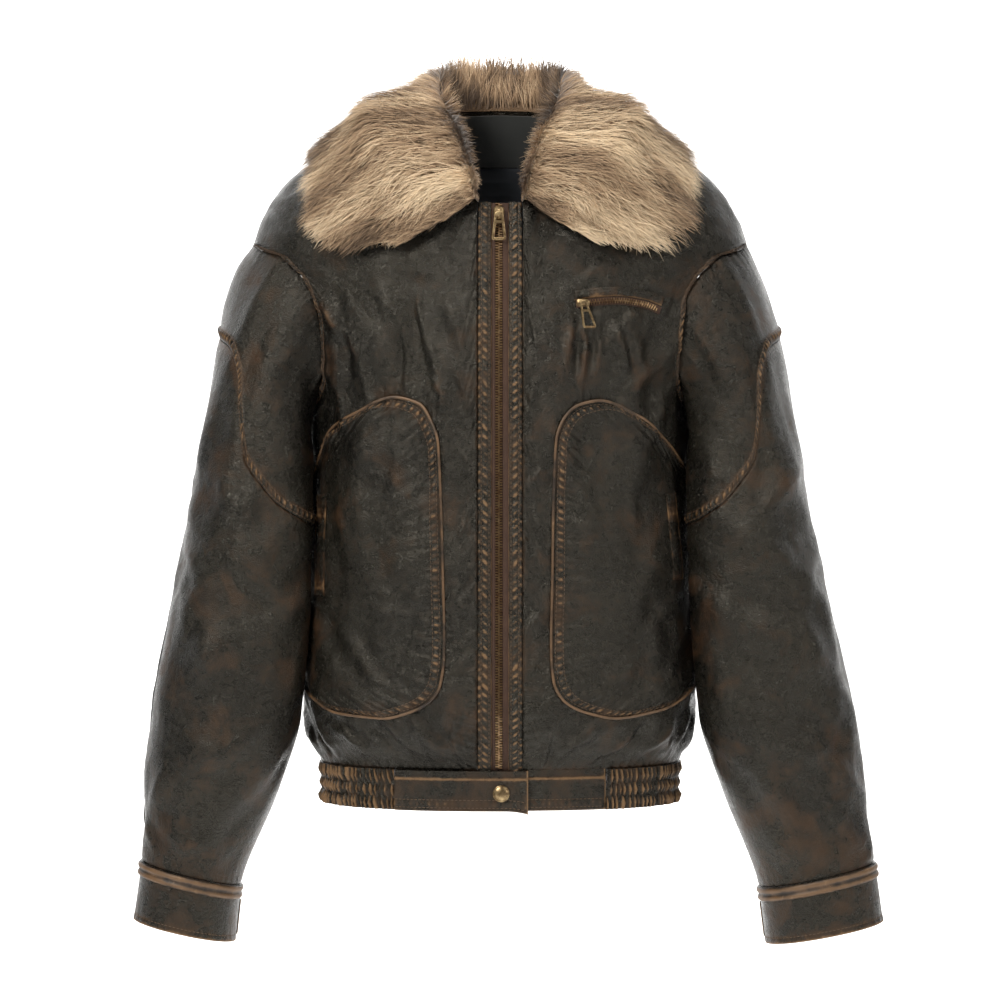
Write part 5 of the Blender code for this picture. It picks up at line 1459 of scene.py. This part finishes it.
def make_fur(name, a_range, b_range, count, seed, paint, grid, normals, flows):
    """Clumped tapering hairs over part of the pelt, joined into one mesh."""
    rng = np.random.default_rng(seed)
    clumps = count // 12
    ca = rng.uniform(*a_range, clumps)
    cb = rng.uniform(*b_range, clumps)
    pick = rng.integers(0, clumps, count)
    a = np.clip(ca[pick] + rng.normal(0, 0.010, count), *a_range)
    b = np.clip(cb[pick] + rng.normal(0, 0.035, count), *b_range)
    root = sample(grid, a, b)
    out = unit(sample(normals, a, b))
    way = unit(sample(flows, a, b))
    swirl = rng.normal(0, 1, (clumps, 3))[pick]
    own = rng.normal(0, 1, (count, 3))
    reach = hair_length(a, b) * (0.82 + 0.3 * rng.random(clumps)[pick]) * (0.8 + 0.35 * rng.random(count))
    gather = (sample(grid, ca[pick], cb[pick]) - root) * 0.55
    start_way = unit(out * 0.60 + way * 0.80 + swirl * 0.12 + own * 0.08)
    end_way = unit(out * 0.12 + way * 1.0 + swirl * 0.15 + own * 0.10 + np.array([0, 0, -0.16]))
    share = np.array([0.0, 0.33, 0.68, 1.0])
    wide = np.array([0.40, 0.36, 0.22, 0.04])[None] * rng.uniform(0.75, 1.25, count)[:, None]
    points = []
    for u in share:
        bend = start_way * (u - 0.5 * u * u) + end_way * (0.5 * u * u)
        points.append(root + bend * reach[:, None] + gather * u * u)
    points = np.stack(points, 1)
    side = unit(np.cross(end_way, out + own * 0.35))[:, None] * wide[..., None]
    verts = np.stack([points - side, points + side], 2).reshape(-1, 3) * MM
    quads = np.array([[0, 1, 3, 2], [2, 3, 5, 4], [4, 5, 7, 6]])[None]
    faces = (np.arange(count)[:, None, None] * 8 + quads).reshape(-1, 4).tolist()
    item = mesh_object(name, verts, faces, 180)
    tone = fur_tone(a, b, 505) + rng.normal(0, 0.09, clumps)[pick] + rng.normal(0, 0.10, count)
    colours = item.data.attributes.new("hair", "FLOAT_COLOR", "POINT").data
    colours.foreach_set("color", hair_colours(tone, share).ravel().astype(np.float32))
    facing = np.repeat(np.repeat((out * 0.8 + start_way * 0.2)[:, None], 4, 1), 2, 1).reshape(-1, 3)
    soft = unit(facing + np.repeat(own * 0.25, 8, axis=0))
    item.data.normals_split_custom_set_from_vertices(soft.tolist())
    dress(item, "collar_fur", paint)


def fur_paint():
    """Hair coloured strand by strand."""
    paint, shader = new_paint("Fur hair")[:2]
    colour = put(paint, "ShaderNodeAttribute", {"attribute_name": "hair"}).outputs["Color"]
    join(paint, colour, shader.inputs["Base Color"])
    shader.inputs["Roughness"].default_value = 0.62
    shader.inputs["Specular IOR Level"].default_value = 0.35
    shader.inputs["Sheen Weight"].default_value = 0.25
    return paint


def pelt_paint():
    """Dense underfur between the hairs."""
    paint, shader, place = new_paint("Underfur")
    cloud = noise(paint, place, 60, 6)
    strands = noise(paint, place, 700, 4)
    colour = mix(paint, cloud, (0.13, 0.082, 0.050), (0.32, 0.21, 0.125))
    join(paint, colour, shader.inputs["Base Color"])
    shader.inputs["Roughness"].default_value = 0.95
    join(paint, bump(paint, strands, 0.002, 0.9), shader.inputs["Normal"])
    return paint


def make_collar(fur, under):
    """Fur collar: the pelt and the hair on it in several pieces."""
    grid = smooth_grid(collar_pelt(23, 11.0), 121, 49)
    across = np.gradient(grid, axis=1)
    normals = unit(np.cross(np.gradient(grid, axis=0), across))
    middle = grid.mean(axis=(0, 1))
    if np.sum(normals[60, 34] * (grid[60, 34] - middle)) < 0:
        normals = -normals
    dress(grid_mesh("collar_pelt", grid), "collar_fur", under)
    pieces = [("left_front", (0.0, 0.27), (0.40, 1.0), 13000, 501),
              ("right_front", (0.73, 1.0), (0.40, 1.0), 13000, 502),
              ("back", (0.27, 0.73), (0.40, 1.0), 15000, 503),
              ("stand", (0.0, 1.0), (0.02, 0.42), 10000, 504)]
    for word, a_range, b_range, count, seed in pieces:
        make_fur("collar_hair_" + word, a_range, b_range, count, seed, fur, grid, normals, unit(across))


def make_stitches(paint):
    """Join the noted stitches into one mesh for each part of the jacket."""
    sides = 4
    angle = (np.arange(sides) * TURN / sides)[None, :, None]
    for group, rows in SEWING.items():
        verts = []
        for ends, away in rows:
            across = unit(np.cross(unit(ends[2] - ends[0]), away))
            ring = across[:, None] * np.cos(angle) + away[:, None] * np.sin(angle)
            rings = [point[:, None] + ring * radius for point, radius in zip(ends, (0.2, 0.42, 0.2))]
            verts.append(np.stack(rings, 1).reshape(-1, 3))
        verts = np.concatenate(verts)
        faces = []
        for start in range(0, len(verts), 3 * sides):
            faces += tube_faces(3, sides, start) + end_faces(3, sides, start)
        dress(mesh_object("stitches_" + group, verts * MM, faces, 70), None, paint)


def laid(name, line, wide, heights, out, count, node, paint, wear, ribs=0.0):
    """Raised strip that lies on the front along a line of breadths and heights."""
    line = even(line, count)
    way = unit(np.gradient(line, axis=0))
    side = np.stack([-way[:, 1], way[:, 0]], 1)
    share = np.linspace(0.5, -0.5, len(heights))
    grid = line[None] + side[None] * (wide * share)[:, None, None]
    phi, z = np.moveaxis(hem_flat(grid[..., 0], grid[..., 1]), -1, 0)
    s = run(line)[None]
    relief = np.asarray(heights, float)[:, None] * (1 + 0.12 * wave(s / 5, 611))
    edge = np.clip(np.minimum(s, s[0, -1] - s) / 1.5, 0, 1) ** 0.5
    crest = ribs * ladder(s, np.abs(share)[:, None] * wide, 617, -0.4 * wide, 0.4 * wide, 6.0)
    values = np.asarray(wear, float)[:, None] + 0.25 * wave(s / 9, 619) + 0.5 * crest
    wall(name, node, body, phi, z, out + (relief + crest) * edge, out - 0.5, values, paint)


def teeth(name, middles, ways, outs, size, node, paint):
    """Rows of small tapered zip teeth joined into one mesh, each with its long way across the tape."""
    long, thick, tall = size
    corners = []
    for lift, shrink in ((-0.5, 1.0), (0.25, 1.0), (0.5, 0.62)):
        for a, b in ((-0.5, -0.5), (0.5, -0.5), (0.5, 0.5), (-0.5, 0.5)):
            corners.append((a * long * (1 - 0.3 * (1 - shrink)), b * thick * shrink, lift * tall))
    corners = np.array(corners)[None]
    along_way = unit(np.cross(outs, ways))
    verts = (middles[:, None] + ways[:, None] * corners[..., :1]
             + along_way[:, None] * corners[..., 1:2] + outs[:, None] * corners[..., 2:])
    faces = []
    for start in range(0, 12 * len(middles), 12):
        faces += tube_faces(3, 4, start) + end_faces(3, 4, start)
    item = mesh_object(name, verts.reshape(-1, 3) * MM, faces, 30, True)
    dress(item, node, paint)


def make_main_zip(metal, tape):
    """Woven tape and two columns of interlocked teeth down the front middle."""
    top = front_rim()[ZIP_START, 1]
    z = np.linspace(top - SEAM, HEM_TOP_Z + SEAM, 81)
    x = np.linspace(-12.5, 12.5, 33)
    zz, xx = np.meshgrid(z, x + ZIP_X, indexing="ij")
    phi, height = np.moveaxis(hem_flat(xx, zz), -1, 0)
    near = np.abs(xx - ZIP_X)
    lift = -1.4 + 0.6 * np.exp(-((near - 3.9) / 0.8) ** 2) + 0.15 * np.cos(near * 4)
    wall("zip_tape_woven", "zip_tape", body, phi, height, lift, -2.4, 0 * xx, tape)
    pitch = 2.3
    steps = np.arange(int((top - HEM_TOP_Z - 2) / pitch))
    z = np.concatenate([top - 1.5 - steps * pitch, top - 1.5 - (steps + 0.5) * pitch])
    x = np.concatenate([np.full(len(steps), ZIP_X - 1.15), np.full(len(steps), ZIP_X + 1.15)])
    flat = hem_flat(x, z)
    outs = body_normal(flat[:, 0], flat[:, 1])
    middles = body(flat[:, 0], flat[:, 1], -0.35)
    ways = unit(np.cross(outs, np.array([0.0, 0.0, 1.0])))
    teeth("zip_teeth", middles, ways, outs, (3.7, 1.25, 1.9), "zip_chain", metal)


def make_pocket_zip(metal, tape, trim):
    """Zip, welt and hand-pocket strips."""
    profile = 1.5 * np.sin(np.linspace(0.12, 1.0, 13) * math.pi) ** 0.5
    profile = profile - 0.45 * np.exp(-((np.arange(13) - 4) / 1.0) ** 2)
    edge_wear = np.interp(np.arange(13), [0, 3, 6, 10, 12], [0.1, 0.0, 0.0, 0.2, 0.7])
    laid("chest_pocket_welt_leather", CHEST_WELT, 8.0, profile, 0.45, 81, "chest_pocket_welt", trim,
         edge_wear, 0.35)
    tape_profile = 0.7 + 0.5 * np.exp(-((np.arange(9) - 4) / 1.8) ** 2)
    laid("chest_pocket_tape", CHEST_ZIP, 6.6, tape_profile, 0.2, 61, None, tape, np.zeros(9))
    line = even(CHEST_ZIP, 400)
    reach = run(line)
    at = np.arange(3.0, reach[-1] - 5, 1.1)
    x = np.interp(at, reach, line[:, 0])
    z = np.interp(at, reach, line[:, 1]) + np.where(np.arange(len(at)) % 2 == 0, 0.85, -0.85)
    flat = hem_flat(x, z)
    outs = body_normal(flat[:, 0], flat[:, 1])
    middles = body(flat[:, 0], flat[:, 1], 1.75)
    slope = np.gradient(np.interp(at, reach, line[:, 1]), np.interp(at, reach, line[:, 0]))
    along_way = unit(np.stack([np.ones(len(at)), 0 * at, slope], 1))
    ways = unit(np.cross(along_way, outs))
    teeth("chest_pocket_teeth", middles, ways, outs, (2.9, 0.95, 1.4), "chest_pocket_zip", metal)
    profile = 1.6 * np.sin(np.linspace(0.08, 0.92, 13) * math.pi) ** 0.45
    profile = profile - 0.5 * np.exp(-((np.arange(13) - 3) / 1.0) ** 2)
    for side in (1, -1):
        values = np.interp(np.arange(13), [0, 2, 6, 10, 12], [0.7, 0.1, 0.05, 0.05, 0.3])[::side]
        node = "hand_pocket_welt_" + WORDS[side]
        laid(node + "_leather", POCKETS[side], 9.0, profile[::side], 0.5, 81, node, trim,
             values, 0.3)


def frame_path(top, bottom, high, low, count=6):
    """Closed trapezoid with rounded corners: breadths and heights."""
    corners = np.array([(-top / 2, high), (top / 2, high), (bottom / 2, low), (-bottom / 2, low)])
    points = []
    for k in range(4):
        here = corners[k]
        far = corners[(k + 1) % 4]
        before_it = unit(corners[k - 1] - here) * 1.6
        after_it = unit(far - here) * 1.6
        for t in np.linspace(0, 1, count):
            points.append((1 - t) ** 2 * (here + before_it) + 2 * t * (1 - t) * here
                          + t * t * (here + after_it))
        for t in (0.35, 0.65):
            points.append(here + after_it + (far - here - 2 * after_it) * t)
    return np.array(points)


def hoop(path, radius, squash, up, sides):
    """Points and faces of a closed tube along a closed path."""
    way = unit(np.roll(path, -1, axis=0) - np.roll(path, 1, axis=0))
    side = unit(np.cross(way, up))
    lift = unit(np.cross(side, way))
    angle = np.arange(sides) * TURN / sides
    ring = (path[:, None] + side[:, None] * np.cos(angle)[None, :, None] * radius
            + lift[:, None] * np.sin(angle)[None, :, None] * radius * squash)
    return ring.reshape(-1, 3), tube_faces(len(path), sides, 0, True)


def make_pull(name, node, hinge, top, bottom, length, wire, lean, paint):
    """Trapezoid pull with a window and a cross bar, hanging from its hinge."""
    slant = math.tan(math.radians(lean))
    flat = frame_path(top - 2 * wire, bottom - 2 * wire, 1.0 - wire, -length + wire)
    path = np.stack([flat[:, 0] - flat[:, 1] * slant, 0 * flat[:, 0], flat[:, 1]], 1) + hinge
    verts, faces = hoop(path, wire, 0.55, np.array([0.0, -1.0, 0.0]), 10)
    height = -length * 0.34
    half = top * 0.52 + (bottom - top) * 0.17 - wire
    middle = np.array([-height * slant, 0, height]) + hinge
    ring = [(0, -0.5, -1), (0, -0.62, 0), (0, -0.5, 1), (0, 0.5, 1), (0, 0.62, 0), (0, 0.5, -1)]
    ring = np.array(ring) * wire
    faces += tube_faces(2, 6, len(verts))
    verts = np.concatenate([verts, middle - [half, 0, 0] + ring, middle + [half, 0, 0] + ring])
    dress(mesh_object(name, verts * MM, faces, 50, True), node, paint, node)


def make_slider(name, node, centre, outline, thick, tilt, arch_size, paint):
    """Slider body lofted through rounded outlines, with a bridge that the pull hangs on."""
    outline = np.array(outline, float)
    count = len(outline)
    rings = []
    for depth, shrink in ((0.5, 0.88), (0.32, 1.0), (-0.25, 1.0), (-0.5, 0.8)):
        middle = np.full(count, depth * thick)
        rings.append(np.stack([outline[:, 0] * shrink, middle, outline[:, 1] * shrink], 1))
    faces = [tuple(range(count)), tuple(range(4 * count - 1, 3 * count - 1, -1))]
    faces += tube_faces(4, count)
    angle = np.linspace(0, math.pi, 9)
    long, tall = arch_size
    arch = np.stack([0 * angle, -0.5 * thick - tall * np.sin(angle), long * np.cos(angle)], 1)
    away = np.stack([0 * angle, -np.sin(angle), np.cos(angle)], 1)
    wide = ((-1.3, 0.0), (-1.3, -0.9), (1.3, -0.9), (1.3, 0.0))
    bridge = np.array([point + [x, 0, 0] + out * lift for point, out in zip(arch, away) for x, lift in wide])
    faces += tube_faces(9, 4, 4 * count)
    verts = np.concatenate(rings + [bridge])
    c, s = math.cos(tilt), math.sin(tilt)
    turned = np.stack([verts[:, 0], c * verts[:, 1] - s * verts[:, 2], s * verts[:, 1] + c * verts[:, 2]], 1)
    dress(mesh_object(name, (turned + centre) * MM, faces, 40, True), node, paint)


def make_snap(paint):
    """Domed cap of the press stud, turned on a lathe."""
    flat = hem_flat(np.array([1.0]), -586.0)[0]
    base = body(flat[0], flat[1], 5.3)
    rings = [(7.2, 0.0), (7.4, 0.5), (7.3, 1.0), (6.8, 1.5), (6.3, 1.6), (5.9, 1.5), (5.5, 1.75), (4.4, 2.3),
             (3.0, 2.7), (1.4, 2.95)]
    sides = 48
    angle = np.arange(sides) * math.pi / 24
    sections = []
    for r, lift in rings:
        depth = np.full(sides, base[1] - lift)
        sections.append(np.stack([base[0] + r * np.cos(angle), depth, base[2] + r * np.sin(angle)], 1))
    verts = np.concatenate(sections)
    faces = [tuple(range(sides)), tuple(range(len(verts) - 1, len(verts) - sides - 1, -1))]
    faces += tube_faces(len(rings), sides)
    dress(mesh_object("snap_cap_domed", verts * MM, faces, 40, True), "snap_cap", paint)


def make_lining(facing, dark):
    """Neck facing with its seam and the channel-quilted lining under it."""
    phi = np.radians(np.linspace(104, 256, 61))
    neck = neckline_back(12)
    top = curve(neck[:, 0], neck[:, 1], phi) - 2.0
    for first, low, name, rows, paint in ((top, -22.0, "back_neck_facing", 29, facing),
                                          (np.full_like(top, -23.0), -120.0, "lining_back", 65, dark)):
        t = np.linspace(0, 1, rows)[:, None]
        z = first[None] * (1 - t) + low * t
        p = np.broadcast_to(phi, z.shape)
        if name == "lining_back":
            channels = 1.1 * np.abs(np.sin(math.pi * (z + 23) / 13.0)) ** 0.6
            relief = channels + 0.25 * patch(p * 26, z / 9, 640)
        else:
            relief = 0.5 * np.exp(-((z + 19.5) / 0.8) ** 2) + 0.12 * patch(p * 20, z / 9, 641)
        wall(name + "_cloth", name, body, p, z, -6.0 - relief, -4.8, 0 * z, paint)


def make_under_collar(paint):
    """Leather under the fall of the collar."""
    neck, edge = collar_line(np.linspace(0, 1, 81))
    share = np.linspace(0.05, 0.98, 17)[:, None, None]
    half = neck[None] * (1 - share) + edge[None] * share
    other = half[:, ::-1][:, 1:] * [-1, 1] + [TURN, 0]
    phi, z = np.moveaxis(np.concatenate([half, other], 1), -1, 0)
    u = phi * AROUND
    lift = UNDER - 1.0 + 0.25 * crackle(u, z, 650)
    wall("under_collar_leather", "under_collar", body, phi, z, lift, UNDER - 2.3, 0.1 + 0 * u, paint)


def make_backdrop():
    """Pale floor that curves up into a wall behind."""
    paint, shader, place = new_paint("Pale backdrop")
    cloud = noise(paint, place, 1.5, 2)
    join(paint, mix(paint, cloud, (0.92, 0.92, 0.915), (0.94, 0.94, 0.935)), shader.inputs["Base Color"])
    shader.inputs["Roughness"].default_value = 0.9
    shader.inputs["Emission Color"].default_value = (1, 1, 1, 1)
    shader.inputs["Emission Strength"].default_value = 0.4
    bend, back, floor = 0.9, 4.4, -1.15
    turns = np.linspace(0, math.pi / 2, 13)
    profile = [(-2.2, floor)]
    profile += [(back - bend + bend * math.sin(turn), floor + bend * (1 - math.cos(turn))) for turn in turns]
    profile += [(back, 3.6)]
    grid = np.array([[(x, y, z) for x in (-6.0, 6.0)] for y, z in profile])
    item = grid_mesh("backdrop", grid / MM, 180)
    item.data.materials.append(paint)


def area_light(name, place, aim, size, power, colour=(1, 1, 1)):
    """Soft rectangular lamp turned towards a point."""
    lamp = bpy.data.lights.new(name, "AREA")
    lamp.shape = "RECTANGLE"
    lamp.size, lamp.size_y = size
    lamp.energy = power
    lamp.color = colour
    item = bpy.data.objects.new(name, lamp)
    item.location = place
    item.rotation_euler = (Vector(aim) - Vector(place)).to_track_quat("-Z", "Y").to_euler()
    bpy.context.scene.collection.objects.link(item)


def make_studio():
    """Soft lamps, pale surroundings and the camera."""
    warm = (1.0, 0.95, 0.88)
    area_light("Key", (-1.2, -2.1, 1.25), (0, 0, -0.3), (0.6, 0.9), 58, warm)
    area_light("Fill", (2.2, -1.5, 0.5), (0, 0, -0.35), (0.4, 1.4), 20, warm)
    area_light("Top", (0, -0.5, 1.5), (0, 0, -0.3), (1.7, 0.4), 20, warm)
    area_light("Back left", (-1.6, 1.3, 0.6), (0, 0, -0.3), (0.6, 1.4), 4)
    area_light("Back right", (1.6, 1.3, 0.6), (0, 0, -0.3), (0.6, 1.4), 4)
    area_light("Backdrop wash", (0, 2.9, 2.3), (0, 4.4, -0.4), (3.0, 0.6), 190)
    world = bpy.data.worlds.new("Studio")
    world.use_nodes = True
    world.node_tree.nodes["Background"].inputs["Color"].default_value = (1, 1, 1, 1)
    world.node_tree.nodes["Background"].inputs["Strength"].default_value = 0.04
    bpy.context.scene.world = world
    bpy.context.scene.view_settings.view_transform = "Standard"
    eye = bpy.data.cameras.new("Camera")
    eye.lens = 120
    eye.sensor_width = 36
    item = bpy.data.objects.new("Camera", eye)
    item.location = (0, -3.0, -0.333)
    item.rotation_euler = (math.pi / 2, 0, 0)
    bpy.context.scene.collection.objects.link(item)
    bpy.context.scene.camera = item


def main():
    """Dress every node and light the scene."""
    body_leather = leather("Body leather", 0.0, 0.02)
    sleeve_leather = leather("Sleeve leather", 0.03, 0.04)
    hem_leather = leather("Hem and cuff leather", 0.12, 0.05)
    strip_leather = leather("Placket leather", 0.10, 0.0)
    tan = tan_leather()
    pocket_leather = leather("Pocket edge leather", 0.12, 0.04)
    metal = brass("Antique brass", (0.16, 0.105, 0.055), (0.50, 0.38, 0.21))
    teeth_metal = brass("Dark bronze teeth", (0.16, 0.095, 0.05), (0.50, 0.34, 0.19))
    tape = tape_cloth()
    facing = lining_cloth("Neck facing", (0.036, 0.040, 0.040))
    dark = lining_cloth("Lining", (0.038, 0.046, 0.060))
    for side, table, arm in ((1, PANEL_EDGE, SLEEVE_LEFT), (-1, PANEL_EDGE_RIGHT, SLEEVE_RIGHT)):
        make_front(side, table, body_leather)
        make_side_panel(side, table, body_leather)
        make_piping(side, table, tan)
        make_placket(side, strip_leather)
        make_cap(side, arm, sleeve_leather)
        make_sleeve(side, arm, sleeve_leather)
        edge = make_cuff(side, arm, hem_leather)
        make_cuff_trim(side, arm, edge, tan)
        make_cuff_tab(side, arm, hem_leather)
    make_back(body_leather)
    make_hem(hem_leather)
    make_band("band_front_left", 22.5, 91.7, 0.8, 3.2, 0, hem_leather)
    make_band("band_front_right", -89.7, 24.0, 4.8, 3.4, 3, hem_leather)
    make_collar(fur_paint(), pelt_paint())
    make_main_zip(teeth_metal, tape)
    make_pocket_zip(teeth_metal, tape, pocket_leather)
    make_slider("zip_slider_body", "zip_slider", (ZIP_X, -108.3, -84.5), SHIELD, 4.6, math.radians(-17),
                (4.4, 2.6), metal)
    turned = [(-z * 0.95, x * 0.72) for x, z in SHIELD]
    make_slider("pocket_slider_body", "pocket_slider", (72, -117.5, -162.5), turned, 3.4, 0.0, (2.4, 1.9),
                metal)
    hinge = np.array([-1.0, -113.2, -84.0])
    make_pull("zip_pull_frame", "zip_pull", hinge, 8.0, 13.0, 24.0, 1.25, 0, metal)
    hinge = np.array([72.0, -120.57, -161.5])
    make_pull("pocket_pull_frame", "pocket_pull", hinge, 6.0, 12.0, 23.0, 0.95, 14, metal)
    make_snap(metal)
    make_lining(facing, dark)
    make_under_collar(body_leather)
    make_stitches(thread())
    make_backdrop()
    make_studio()


main()
